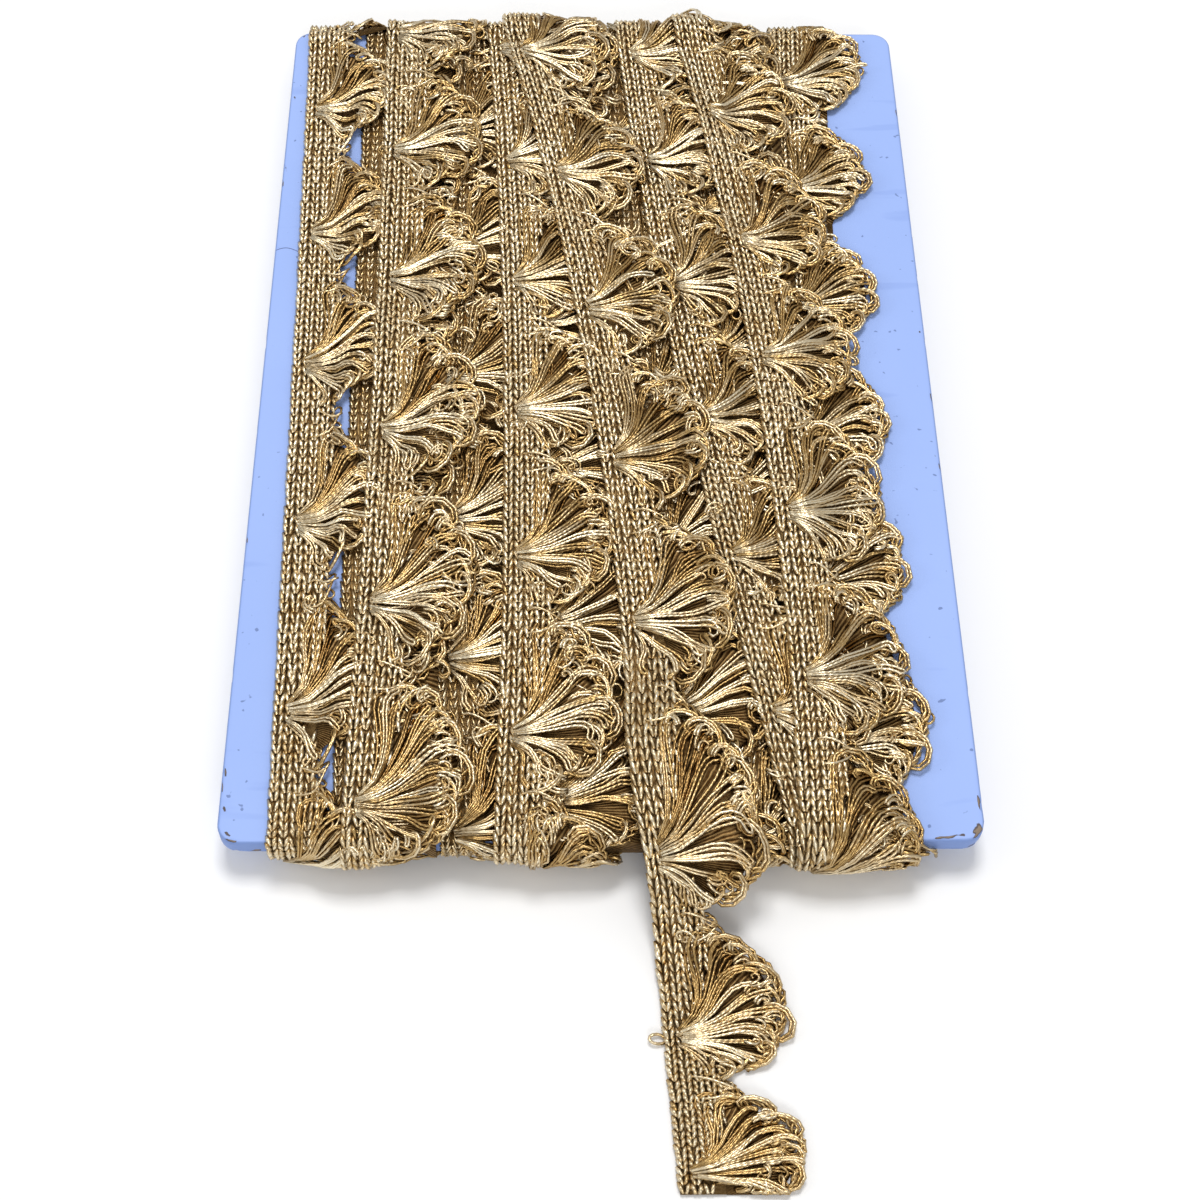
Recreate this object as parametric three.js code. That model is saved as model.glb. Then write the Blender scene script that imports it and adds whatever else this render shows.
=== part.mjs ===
// Gold lace border trim wound round a painted card, lying flat, with its loose end in front.
// Millimetres, +Z up. The card's long sides run along Y, and its near edge is at -Y.
// Heights named lift, fall and thickness are measured outwards from the card's own surface.
import * as THREE from "three";

// Card
const CARD_WIDTH = 105;
const CARD_LENGTH = 157.5;
const CARD_THICKNESS = 3;
const CARD_CORNER = 3;
const CORNER_STEPS = 5;

// Lace: a knitted heading along the left edge, and shell fans that spread from it to the right
const LACE_WIDTH = 18;
const HEADING_WIDTH = 7;
const HEADING_THICKNESS = 1.4;
const FAN_THICKNESS = 1.9;
const LINK_WIDTH = 9;
const EDGE_STEP = 0.5;
const TIP_THICKNESS = 0.6;
// Place of the knot between the near and far ends of its shell
const KNOT_SHARE = 0.34;
// Place of a fan's crest between the heading and the tips
const CREST_SHARE = 0.45;
// Thickness and reach that a fan keeps at the links beside it, where it is not spread
const LINK_THICKNESS_SHARE = 0.7;
const LINK_REACH_SHARE = 0.35;

// Winding
const CLEARANCE = 0.3;
const BACK_THICKNESS = 4;
const BACK_GROOVE = 0.8;
const FLAT_SHARE = 0.88;
const BEND_SQUEEZE = 0.3;
// Where a turn is mostly covered by the next, its edge and heading keep these shares of what shows
const NARROW_EDGE_SHARE = 0.12;
const NARROW_HEADING_SHARE = 0.55;
// Height of the left edge's foot, as a share of the height of the heading's underside
const FOOT_SHARE = 0.8;
const FRONT_STATIONS = 36;
const BACK_STATIONS = 8;
const BEND_STEPS = 8;
const LEAST_WALL = 0.4;

// Turns that show on the front, from left to right: far, middle and near are the x of the left edge
// at the card's far edge, halfway and near edge. lift is the height of the heading's underside,
// fall is how much lower the fan tips lie, knot is the y of one shell's knot, and pitch is the
// distance between knots. The turn with an end stops there and goes on as the loose end.
const TURNS = [
  { far: -50.2, middle: -47.8, near: -45.4, lift: 0.8, fall: 0.4, knot: 2.5, pitch: 29.4 },
  { far: -36.6, middle: -34.9, near: -35.5, lift: 2.4, fall: 1.4, knot: 19.4, pitch: 30.1 },
  { far: -19.6, middle: -14.8, near: -14.8, lift: 2.7, fall: 1.3, knot: -7.3, pitch: 27.5 },
  { far: -16.4, middle: -1.0, near: 3.2, lift: 3.8, fall: 1.6, knot: 12.8, pitch: 28.8, end: -55 },
  { far: 3.6, middle: 12.6, near: 24.0, lift: 2.7, fall: 1.0, knot: -9.4, pitch: 26.2 },
  { far: 13.4, middle: 24.3, near: 26.6, lift: 3.5, fall: 2.2, knot: 2.7, pitch: 27.9 },
  { far: 31.4, middle: 41.4, near: 43.0, lift: 1.2, fall: 0.6, knot: 14.4, pitch: 25.0 },
];
const LAST_TURN_REACH = 4.6;
const SEAT_HEIGHT = 3.5;

// Loose end: y and under place the underside of its middle line, and left is its left edge
const LOOSE_END = [
  { y: -57.0, under: 10.8, left: 2.9 },
  { y: -66.0, under: 11.2, left: 3.2 },
  { y: -75.0, under: 11.3, left: 4.2 },
  { y: -81.5, under: 9.6, left: 5.4 },
  { y: -86.0, under: 6.0, left: 6.3 },
  { y: -90.0, under: 2.4, left: 6.8 },
  { y: -95.5, under: 0.3, left: 7.2 },
  { y: -102.0, under: 0.0, left: 7.7 },
  { y: -113.0, under: 0.0, left: 8.5 },
  { y: -125.5, under: 0.0, left: 9.3 },
];
const LOOSE_WIDTH = 16.5;
const LOOSE_STATIONS = 34;
// y of the knots, from the last one on the card to the one that was cut away
const LOOSE_KNOTS = [-45.5, -82, -104.5, -122.5, -143];

const CARD_MIDDLE_Z = BACK_THICKNESS + CARD_THICKNESS / 2;
const HALF_THICKNESS = CARD_THICKNESS / 2;
const BEND_CENTRE = CARD_LENGTH / 2 - HALF_THICKNESS;
const INNER_HALF = HALF_THICKNESS + CLEARANCE;

const cardPaint = new THREE.MeshStandardMaterial({ color: 0x9db4f0, roughness: 0.6, metalness: 0 });
const goldThread = new THREE.MeshStandardMaterial({ color: 0xb08d52, roughness: 0.4, metalness: 0.7 });

// Value at a share of the way from one value to another
function between(from, to, share) {
  return from + (to - from) * share;
}

// Point on the curve through far, middle and near at y
function leftEdge(turn, y) {
  const u = (2 * y) / CARD_LENGTH;
  const tilt = (turn.far - turn.near) / 2;
  const bow = (turn.far + turn.near) / 2 - turn.middle;
  return turn.middle + tilt * u + bow * u * u;
}

// 0 at the links between two fans and 1 in the middle of a fan, which lies mostly beyond its knot
function scallop(phase) {
  const along = phase + KNOT_SHARE - Math.floor(phase + KNOT_SHARE);
  return Math.sqrt(Math.max(0, 1 - (2 * along - 1) ** 2));
}

// Closed body from rings of points: each ring is joined to the next, and the last to the first
// when the rings go all the way round, or else both ends are capped
function skin(rings, goesRound) {
  const count = rings[0].length;
  const points = rings.flat();
  const faces = [];
  const joins = goesRound ? rings.length : rings.length - 1;
  for (let row = 0; row < joins; row += 1) {
    const next = (row + 1) % rings.length;
    for (let column = 0; column < count; column += 1) {
      const side = (column + 1) % count;
      const a = row * count + column;
      const b = row * count + side;
      const c = next * count + side;
      const d = next * count + column;
      faces.push(a, c, b, a, d, c);
    }
  }
  if (!goesRound) {
    const last = (rings.length - 1) * count;
    for (let column = 1; column < count - 1; column += 1) {
      faces.push(0, column, column + 1);
      faces.push(last, last + column + 1, last + column);
    }
  }
  const geometry = new THREE.BufferGeometry();
  geometry.setAttribute("position", new THREE.Float32BufferAttribute(points.flat(), 3));
  geometry.setIndex(faces);
  geometry.computeVertexNormals();
  return geometry;
}

// Columns of one turn across its width at y: x of the foot and top of its left edge, the right
// side of its heading, the crest of its fan and its tip, with their heights on the front
function turnColumns(turn, next, y, spread) {
  const left = leftEdge(turn, y);
  const reach = between(LINK_WIDTH, LACE_WIDTH, spread);
  const lastReach = LAST_TURN_REACH * between(LINK_REACH_SHARE, 1, spread);
  const tip = next ? Math.min(reach, leftEdge(next, y) - left - CLEARANCE) : lastReach;
  const step = Math.min(EDGE_STEP, tip * NARROW_EDGE_SHARE);
  const heading = Math.min(HEADING_WIDTH, tip * NARROW_HEADING_SHARE);
  const crest = between(heading, tip, CREST_SHARE);
  const fallen = turn.lift - turn.fall;
  const heights = [
    turn.lift * FOOT_SHARE,
    turn.lift + HEADING_THICKNESS,
    turn.lift + HEADING_THICKNESS,
    (turn.lift + fallen) / 2 + FAN_THICKNESS * between(LINK_THICKNESS_SHARE, 1, spread),
    fallen + TIP_THICKNESS,
  ];
  const stopped = turn.end !== undefined && y < turn.end;
  return [0, step, heading, crest, tip].map((offset, index) => ({
    x: left + offset,
    height: stopped ? Math.min(heights[index], SEAT_HEIGHT) : heights[index],
    groove: index === 0 || index === 4,
  }));
}

// All columns across the front at y, with every fan spread by its own phase
function frontColumns(y) {
  return TURNS.flatMap((turn, index) => {
    const spread = scallop((y - turn.knot) / turn.pitch);
    return turnColumns(turn, TURNS[index + 1], y, spread);
  });
}

// Ring at one station: the outer columns from left to right, then the inner wall back again
function stationRing(xs, heights, place, inner) {
  const outer = xs.map((x, column) => {
    return place(x, Math.max(HALF_THICKNESS + heights[column], inner + LEAST_WALL));
  });
  return [...outer, place(xs[xs.length - 1], inner), place(xs[0], inner)];
}

// Stations round an edge of the card: end is 1 at the far edge and -1 at the near edge
function bendRings(end, fromHeights, toHeights, xs, startAngle) {
  const rings = [];
  for (let step = 1; step < BEND_STEPS; step += 1) {
    const turn = step / BEND_STEPS;
    const angle = startAngle + turn * Math.PI;
    const blend = (1 - Math.cos(turn * Math.PI)) / 2;
    const squeeze = 1 - BEND_SQUEEZE * Math.sin(turn * Math.PI);
    const sine = Math.sin(angle);
    const cosine = Math.cos(angle);
    const inner = INNER_HALF / Math.max(Math.abs(sine), Math.abs(cosine));
    const heights = fromHeights.map((height, column) => {
      return (height * (1 - blend) + toHeights[column] * blend) * squeeze;
    });
    const place = (x, radius) => {
      return [x, end * (BEND_CENTRE + Math.abs(sine) * radius), CARD_MIDDLE_Z + cosine * radius];
    };
    rings.push(stationRing(xs, heights, place, inner));
  }
  return rings;
}

// Share of its thickness that the lace keeps at y, less towards the edges that pull it tight
function pulledFlat(y) {
  const past = Math.max(0, Math.abs(y) / BEND_CENTRE - FLAT_SHARE) / (1 - FLAT_SHARE);
  return 1 - BEND_SQUEEZE * past;
}

function frontRing(y) {
  const columns = frontColumns(y);
  const place = (x, radius) => [x, y, CARD_MIDDLE_Z + radius];
  const heights = columns.map((column) => column.height * pulledFlat(y));
  return stationRing(columns.map((column) => column.x), heights, place, INNER_HALF);
}

// Back ring at a share of the way from the near edge to the far one, pressed flat but for grooves
function backRing(share, nearColumns, farColumns) {
  const y = BEND_CENTRE * between(-1, 1, share);
  const place = (x, radius) => [x, y, CARD_MIDDLE_Z - radius];
  const heights = nearColumns.map((column) => backHeight(column) * pulledFlat(y));
  const xs = nearColumns.map((column, index) => between(column.x, farColumns[index].x, share));
  return stationRing(xs, heights, place, INNER_HALF);
}

function backHeight(column) {
  return BACK_THICKNESS - (column.groove ? BACK_GROOVE : 0);
}

// The wound lace as one sleeve: front from far to near, near bend, back, far bend
function woundLace() {
  const nearColumns = frontColumns(-BEND_CENTRE);
  const farColumns = frontColumns(BEND_CENTRE);
  const ease = pulledFlat(BEND_CENTRE);
  const fronts = (columns) => columns.map((column) => column.height * ease);
  const backs = nearColumns.map((column) => backHeight(column) * ease);
  const xs = (columns) => columns.map((column) => column.x);
  const stations = (count) => Array.from({ length: count + 1 }, (unused, index) => index / count);
  return skin([
    ...stations(FRONT_STATIONS).map((share) => frontRing(BEND_CENTRE * between(1, -1, share))),
    ...bendRings(-1, fronts(nearColumns), backs, xs(nearColumns), 0),
    ...stations(BACK_STATIONS).map((share) => backRing(share, nearColumns, farColumns)),
    ...bendRings(1, backs, fronts(farColumns), xs(farColumns), Math.PI),
  ], true);
}

// The loose end as a thin sheet that follows its own curve over the near edge and along the ground
function looseEnd() {
  const path = new THREE.CatmullRomCurve3(
    LOOSE_END.map((row) => new THREE.Vector3(row.left, row.y, row.under)), false, "centripetal");
  const rings = [];
  for (let station = 0; station <= LOOSE_STATIONS; station += 1) {
    const share = station / LOOSE_STATIONS;
    const at = path.getPointAt(share);
    const along = path.getTangentAt(share);
    const up = new THREE.Vector3(0, along.z, -along.y).normalize();
    const knot = LOOSE_KNOTS.findIndex((y) => y < at.y);
    const spread = scallop((at.y - LOOSE_KNOTS[knot]) / (LOOSE_KNOTS[knot - 1] - LOOSE_KNOTS[knot]));
    const tip = between(LINK_WIDTH, LOOSE_WIDTH, spread);
    const crest = between(HEADING_WIDTH, tip, CREST_SHARE);
    const place = (across, height) => {
      return [at.x + across, at.y + up.y * height, Math.max(at.z, 0) + up.z * height];
    };
    rings.push([
      place(0, 0),
      place(0, HEADING_THICKNESS),
      place(HEADING_WIDTH, HEADING_THICKNESS),
      place(crest, FAN_THICKNESS),
      place(tip, TIP_THICKNESS),
      place(tip, 0),
      place(HEADING_WIDTH, 0),
    ]);
  }
  return skin(rings, false);
}

function card() {
  const halfWidth = CARD_WIDTH / 2;
  const halfLength = CARD_LENGTH / 2;
  const outline = new THREE.Shape();
  outline.moveTo(-halfWidth + CARD_CORNER, -halfLength);
  outline.absarc(halfWidth - CARD_CORNER, -halfLength + CARD_CORNER, CARD_CORNER, -Math.PI / 2, 0);
  outline.absarc(halfWidth - CARD_CORNER, halfLength - CARD_CORNER, CARD_CORNER, 0, Math.PI / 2);
  outline.absarc(-halfWidth + CARD_CORNER, halfLength - CARD_CORNER, CARD_CORNER, Math.PI / 2, Math.PI);
  outline.absarc(-halfWidth + CARD_CORNER, -halfLength + CARD_CORNER, CARD_CORNER, Math.PI, 1.5 * Math.PI);
  return new THREE.ExtrudeGeometry(outline, {
    depth: CARD_THICKNESS, bevelEnabled: false, curveSegments: CORNER_STEPS });
}

function piece(name, geometry, material) {
  const mesh = new THREE.Mesh(geometry, material);
  mesh.name = name;
  return mesh;
}

const trim = new THREE.Group();
const cardMesh = piece("card", card(), cardPaint);
cardMesh.position.z = BACK_THICKNESS;
trim.add(cardMesh);
trim.add(piece("wound_lace", woundLace(), goldThread));
trim.add(piece("loose_end", looseEnd(), goldThread));

// The origin is under the middle of the whole thing
const bounds = new THREE.Box3().setFromObject(trim);
trim.position.set(-(bounds.min.x + bounds.max.x) / 2, -(bounds.min.y + bounds.max.y) / 2, -bounds.min.z);

export default trim;
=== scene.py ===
import math

import bpy
import numpy as np
from mathutils import Matrix, Vector


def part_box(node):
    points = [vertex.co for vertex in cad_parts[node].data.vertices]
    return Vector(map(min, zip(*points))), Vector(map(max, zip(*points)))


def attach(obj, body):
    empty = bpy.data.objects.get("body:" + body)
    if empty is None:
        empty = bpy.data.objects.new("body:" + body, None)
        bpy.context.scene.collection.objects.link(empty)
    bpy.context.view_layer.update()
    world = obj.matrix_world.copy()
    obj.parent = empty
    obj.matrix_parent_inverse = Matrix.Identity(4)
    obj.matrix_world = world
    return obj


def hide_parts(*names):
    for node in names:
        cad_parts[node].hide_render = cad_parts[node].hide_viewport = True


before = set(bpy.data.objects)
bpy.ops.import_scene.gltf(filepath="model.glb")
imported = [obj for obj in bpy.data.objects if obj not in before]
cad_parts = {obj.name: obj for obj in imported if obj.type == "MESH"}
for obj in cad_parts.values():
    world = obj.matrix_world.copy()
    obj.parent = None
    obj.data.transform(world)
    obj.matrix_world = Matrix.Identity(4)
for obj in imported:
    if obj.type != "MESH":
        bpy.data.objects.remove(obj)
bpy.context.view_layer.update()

MM = 0.001
card_low, card_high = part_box("card")
card_middle = (card_low + card_high) / 2

# Camera. It looks down at the card from in front of its near edge. Its place and turn were worked
# out from the four corners of the card in the photograph, on a 60 mm lens.
CAMERA_FROM_CARD = Vector((-4.54, -194.79, 251.12)) * MM
CAMERA_LENS = 60.0
CAMERA_SENSOR = 36.0
LOOK_DOWN = math.radians(58.03)
LOOK_RIGHT = math.radians(1.71)
CAMERA_ROLL = math.radians(1.36)


def photo_camera():
    """Camera turned down from the level, then to the right, then rolled about its own axis."""
    data = bpy.data.cameras.new("photo_camera")
    data.lens = CAMERA_LENS
    data.sensor_width = CAMERA_SENSOR
    camera = bpy.data.objects.new("photo_camera", data)
    bpy.context.scene.collection.objects.link(camera)
    turn = Matrix.Rotation(-LOOK_RIGHT, 4, "Z") @ Matrix.Rotation(math.pi / 2 - LOOK_DOWN, 4, "X")
    foot = Vector((card_middle.x, card_middle.y, card_low.z))
    camera.matrix_world = (
        Matrix.Translation(foot + CAMERA_FROM_CARD) @ turn @ Matrix.Rotation(CAMERA_ROLL, 4, "Z")
    )
    bpy.context.scene.camera = camera


photo_camera()

# Floor and light. A pale seamless floor in a dim white room, with one soft light overhead and a
# little behind, a lower one in front that picks out the threads, and a weak one at the left.
FLOOR_REACH = 3.0
FLOOR_COLOUR = (0.93, 0.93, 0.93, 1.0)
FLOOR_ROUGHNESS = 0.9
ROOM_COLOUR = (1.0, 1.0, 1.0, 1.0)
ROOM_STRENGTH = 0.52
SOFT_LIGHTS = [
    {"name": "light_overhead", "place": (0.0, 0.3, 1.0), "size": 0.34, "power": 5.6},
    {"name": "light_in_front", "place": (0.12, -0.85, 0.55), "size": 0.3, "power": 2.2},
    {"name": "light_at_left", "place": (-0.9, -0.1, 0.5), "size": 0.3, "power": 1.0},
]


def new_material(name):
    """A new material, its node tree and its shader."""
    material = bpy.data.materials.new(name)
    material.use_nodes = True
    tree = material.node_tree
    return material, tree, tree.nodes["Principled BSDF"]


def pale_floor():
    mesh = bpy.data.meshes.new("floor")
    corners = [(x * FLOOR_REACH, y * FLOOR_REACH, 0) for x, y in ((-1, -1), (1, -1), (1, 1), (-1, 1))]
    mesh.from_pydata(corners, [], [(0, 1, 2, 3)])
    floor = bpy.data.objects.new("floor", mesh)
    bpy.context.scene.collection.objects.link(floor)
    material, tree, shader = new_material("floor_white")
    shader.inputs["Base Color"].default_value = FLOOR_COLOUR
    shader.inputs["Roughness"].default_value = FLOOR_ROUGHNESS
    mesh.materials.append(material)


def soft_light(name, place, size, power):
    data = bpy.data.lights.new(name, "AREA")
    data.size = size
    data.energy = power
    light = bpy.data.objects.new(name, data)
    bpy.context.scene.collection.objects.link(light)
    light.location = place
    light.rotation_euler = (-Vector(place)).to_track_quat("-Z", "Y").to_euler()


def white_room():
    world = bpy.data.worlds.new("white_room")
    bpy.context.scene.world = world
    world.use_nodes = True
    sky = world.node_tree.nodes["Background"]
    sky.inputs["Color"].default_value = ROOM_COLOUR
    sky.inputs["Strength"].default_value = ROOM_STRENGTH


pale_floor()
white_room()
for lamp in SOFT_LIGHTS:
    soft_light(**lamp)
bpy.context.scene.view_settings.view_transform = "Standard"

# Card. A stiff 3 mm board, sawn square with small rounded corners and painted pale blue. The thin
# paint is worn off in chips along its edges and corners, where the dark board shows.
CARD_SEED = 11
CARD_CORNER = 3.0
CORNER_STEPS = 10
OUTLINE_STEP = 1.1
# The eased edge, and where its middle lies as a share of it
CARD_EASE = 0.35
EASE_MIDDLE = 0.3
# How far the rings of points on the flat faces lie inside the edge, and the ring on the side from
# the middle of the side
FACE_RINGS = [2.6, 1.3, 0.7]
SIDE_RING = 0.45
CHIP_DEPTH = 0.3
CHIP_WAVES = 60
FEWEST_CHIPS = 3
SHORTEST_CHIP = 2.6
CHIPS_EVENED = 1.5
# The sum of ripples at which a chip starts, and how much more makes it full
CHIPPED_FROM = 0.9
CHIPPED_OVER = 0.4
CHIPS_REACH_DOWN = 0.4
CHIPS_REACH_IN = 0.9
# The near corners have lost paint this far along the edges, the right one more of it
WORN_CORNER_REACH = 6.5
WORN_CORNERS = {"right": 1.05, "left": 0.6}
PAINT_LIGHT = (0.345, 0.478, 0.88, 1.0)
PAINT_DARK = (0.322, 0.452, 0.85, 1.0)
# Painted shade: the card's sides get this darker blue, as less light falls on them
SHADED_SIDE_PAINT = (0.2, 0.3, 0.62, 1.0)
BARE_BOARD = (0.27, 0.205, 0.15, 1.0)
BOARD_RIM = (0.09, 0.07, 0.07, 1.0)
SPECK_COLOUR = (0.1, 0.15, 0.34, 1.0)
SCRATCH_COLOUR = (0.22, 0.33, 0.72, 1.0)
CRACK_COLOUR = (0.12, 0.16, 0.36, 1.0)
CRACK_Y = 0.0275
CRACK_LENGTH = 0.0052
CRACK_HALF_WIDTH = 0.00009
CRACK_SWING = 0.0006
CRACK_SWINGS = 900.0
# Features of each noise in a metre, and how the scratches are drawn out along the card's width
CLOUDS = 26
SPECKS = 800
SCRATCHES = 230
SCRATCH_STRETCH = (0.22, 1.3, 1)
RAGGED_EDGES = 900
BOARD_GRAIN = 380


def surface(name, points, faces, caps=()):
    """A mesh from points in millimetres, four-cornered faces and a few faces of many corners."""
    mesh = bpy.data.meshes.new(name)
    mesh.vertices.add(len(points))
    mesh.vertices.foreach_set("co", (np.asarray(points) * MM).astype(np.float32).ravel())
    corners = np.concatenate([faces.ravel(), *caps]).astype(np.int32)
    counts = np.array([4] * len(faces) + [len(cap) for cap in caps])
    mesh.loops.add(len(corners))
    mesh.loops.foreach_set("vertex_index", corners)
    mesh.polygons.add(len(counts))
    mesh.polygons.foreach_set("loop_start", (np.cumsum(counts) - counts).astype(np.int32))
    mesh.polygons.foreach_set("use_smooth", np.full(len(counts), True))
    mesh.update(calc_edges=True)
    piece = bpy.data.objects.new(name, mesh)
    bpy.context.scene.collection.objects.link(piece)
    return piece


def face_grid(rows, columns):
    """Corner numbers of the faces of a grid whose columns close into a ring."""
    row, column = np.meshgrid(np.arange(rows - 1), np.arange(columns), indexing="ij")
    after = (column + 1) % columns
    corners = [row * columns + column, row * columns + after]
    corners += [(row + 1) * columns + after, (row + 1) * columns + column]
    return np.stack(corners, -1).reshape(-1, 4)


def ripple(where, rng):
    """Sum of sine waves round a closed line, of random whole counts and phases, mostly within one."""
    turns = where / where[-1] * 2 * np.pi
    counts = rng.integers(FEWEST_CHIPS, int(where[-1] / SHORTEST_CHIP), CHIP_WAVES)
    phases = rng.uniform(0, 2 * np.pi, CHIP_WAVES)
    return np.sin(np.outer(turns, counts) + phases).sum(1) / np.sqrt(CHIP_WAVES) / CHIPS_EVENED


def unit(angle):
    """Directions at these angles, from x towards y."""
    return np.stack([np.cos(angle), np.sin(angle)], -1)


def card_outline(inner):
    """Round the card: place and outward direction of each point. Quarter circles round the inner
    corners, which lie at plus and minus inner, with straight sides between them."""
    signs = np.array([(1, 1), (-1, 1), (-1, -1), (1, -1)])
    places, ways = [], []
    for quarter, (sign, next_sign) in enumerate(zip(signs, np.roll(signs, -1, 0))):
        way = unit(np.linspace(0, np.pi / 2, CORNER_STEPS) + quarter * np.pi / 2)
        steps = 2 * int(inner[quarter % 2] / OUTLINE_STEP)
        along = np.linspace(0, 1, steps + 2)[1:-1, None]
        start = sign * inner + CARD_CORNER * way[-1]
        end = next_sign * inner + CARD_CORNER * way[-1]
        places += [sign * inner + CARD_CORNER * way, start + (end - start) * along]
        ways += [way, np.repeat(way[-1:], steps, 0)]
    return np.concatenate(places), np.concatenate(ways)


def mark(piece, name, values, kind="FLOAT"):
    """Writes a value, or a vector, at every point of the piece under this name."""
    attribute = piece.data.attributes.new(name, kind, "POINT")
    field = "value" if kind == "FLOAT" else "vector"
    attribute.data.foreach_set(field, np.asarray(values, np.float32).ravel())


def painted_card():
    """The edge profile carried round the outline: top, eased edge, side, eased edge, underside.
    Chips push the eased edges inwards where the sum of ripples is high."""
    rng = np.random.default_rng(CARD_SEED)
    low, high = np.array(card_low) / MM, np.array(card_high) / MM
    half = (high - low) / 2
    outline, ways = card_outline(half[:2] - CARD_CORNER)
    where = np.cumsum(np.linalg.norm(np.diff(outline, axis=0, append=outline[:1]), axis=1))
    top, ease, middle = half[2], CARD_EASE, CARD_EASE * EASE_MIDDLE
    upper = [(-inset, top) for inset in FACE_RINGS + [ease]]
    upper += [(-middle, top - middle), (0, top - ease), (0, SIDE_RING)]
    profile = np.array(upper + [(inset, -height) for inset, height in upper[::-1]])
    chips = np.stack([ripple(where, rng) for row in profile], 0)
    for corner_x, loss in ((half[0], WORN_CORNERS["right"]), (-half[0], WORN_CORNERS["left"])):
        away = np.linalg.norm(outline - np.array([corner_x, -half[1]]), axis=1)
        chips += loss * np.exp(-((away / WORN_CORNER_REACH) ** 2))
    edge = np.exp(-(((np.abs(profile[:, 1]) - top + ease / 2) / CHIPS_REACH_DOWN) ** 2))
    edge = (edge * np.exp(-((profile[:, 0] / CHIPS_REACH_IN) ** 2)))[:, None]
    worn = np.clip((chips - CHIPPED_FROM) / CHIPPED_OVER, 0, 1) * edge
    flat = outline[None] + ways[None] * (profile[:, :1] - CHIP_DEPTH * worn)[..., None]
    height = np.repeat(profile[:, 1:2], len(outline), 1)
    points = np.concatenate([flat, height[..., None]], -1) + (low + high) / 2
    sides = face_grid(len(profile), len(outline))[:, ::-1]
    ring = np.arange(len(outline))
    caps = [ring, ring[::-1] + (len(profile) - 1) * len(outline)]
    card = surface("painted_card", points.reshape(-1, 3), sides, caps)
    mark(card, "wear", worn)
    # Points on the side, which get painted shade
    mark(card, "side", np.broadcast_to(profile[:, :1] > -ease / 2, worn.shape))
    return card


def feed(tree, value, socket):
    """Gives a socket a value, or a link from another socket."""
    if isinstance(value, bpy.types.NodeSocket):
        tree.links.new(value, socket)
    else:
        socket.default_value = value


def math_node(tree, operation, first, second=0.0):
    """One operation on one or two numbers. Each number is a value or a socket."""
    node = tree.nodes.new("ShaderNodeMath")
    node.operation = operation
    feed(tree, first, node.inputs[0])
    feed(tree, second, node.inputs[1])
    return node.outputs["Value"]


def mixed(tree, factor, first, second):
    """One colour over another by a factor. Each colour is a value or a socket."""
    mix = tree.nodes.new("ShaderNodeMix")
    mix.data_type = "RGBA"
    for name, value in (("A", first), ("B", second)):
        feed(tree, value, [s for s in mix.inputs if s.name == name and s.type == "RGBA"][0])
    tree.links.new(factor, mix.inputs["Factor"])
    return [s for s in mix.outputs if s.type == "RGBA"][0]


def colour_steps(tree, steps, factor):
    """A colour ramp from pairs of place and colour, driven by a factor."""
    ramp = tree.nodes.new("ShaderNodeValToRGB")
    points = ramp.color_ramp.elements
    while len(points) < len(steps):
        points.new(1.0)
    for point, (place, colour) in zip(points, steps):
        point.position = place
        point.color = colour
    tree.links.new(factor, ramp.inputs["Fac"])
    return ramp.outputs["Color"]


def mask(tree, none_at, full_at, strength, factor):
    """A ramp from nothing to the strength."""
    full = (strength, strength, strength, 1)
    return colour_steps(tree, [(none_at, (0, 0, 0, 1)), (full_at, full)], factor)


def object_noise(tree, scale, detail, stretch=(1, 1, 1)):
    """Noise on Object coordinates, so many features a metre, stretched along an axis."""
    place = tree.nodes.new("ShaderNodeTexCoord")
    mapping = tree.nodes.new("ShaderNodeMapping")
    mapping.inputs["Scale"].default_value = stretch
    noise = tree.nodes.new("ShaderNodeTexNoise")
    noise.inputs["Scale"].default_value = scale
    noise.inputs["Detail"].default_value = detail
    tree.links.new(place.outputs["Object"], mapping.inputs["Vector"])
    tree.links.new(mapping.outputs["Vector"], noise.inputs["Vector"])
    return noise.outputs["Fac"]


def marked(tree, name, output="Fac"):
    """The value, or the vector, that the mesh carries under this name."""
    node = tree.nodes.new("ShaderNodeAttribute")
    node.attribute_name = name
    return node.outputs[output]


def split_up(tree, vector):
    """The X, Y and Z sockets of a vector."""
    node = tree.nodes.new("ShaderNodeSeparateXYZ")
    tree.links.new(vector, node.inputs["Vector"])
    return node.outputs


def add_bump(tree, height, strength, depth):
    """Bumps the shader's normal by a height, so many metres deep."""
    bump = tree.nodes.new("ShaderNodeBump")
    bump.inputs["Strength"].default_value = strength
    bump.inputs["Distance"].default_value = depth
    tree.links.new(height, bump.inputs["Height"])
    tree.links.new(bump.outputs["Normal"], tree.nodes["Principled BSDF"].inputs["Normal"])


def crack_mask(tree):
    """One thin curved crack from the left edge inwards: near a sine line, within its length."""
    place = split_up(tree, tree.nodes.new("ShaderNodeTexCoord").outputs["Object"])
    run = math_node(tree, "SUBTRACT", place["X"], card_low.x)
    swing = math_node(tree, "SINE", math_node(tree, "MULTIPLY", run, CRACK_SWINGS))
    line = math_node(tree, "MULTIPLY", swing, CRACK_SWING)
    above = math_node(tree, "SUBTRACT", place["Y"], card_middle.y + CRACK_Y)
    off = math_node(tree, "ABSOLUTE", math_node(tree, "SUBTRACT", above, line))
    near = math_node(tree, "LESS_THAN", off, CRACK_HALF_WIDTH)
    return math_node(tree, "MULTIPLY", near, math_node(tree, "LESS_THAN", run, CRACK_LENGTH))


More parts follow.
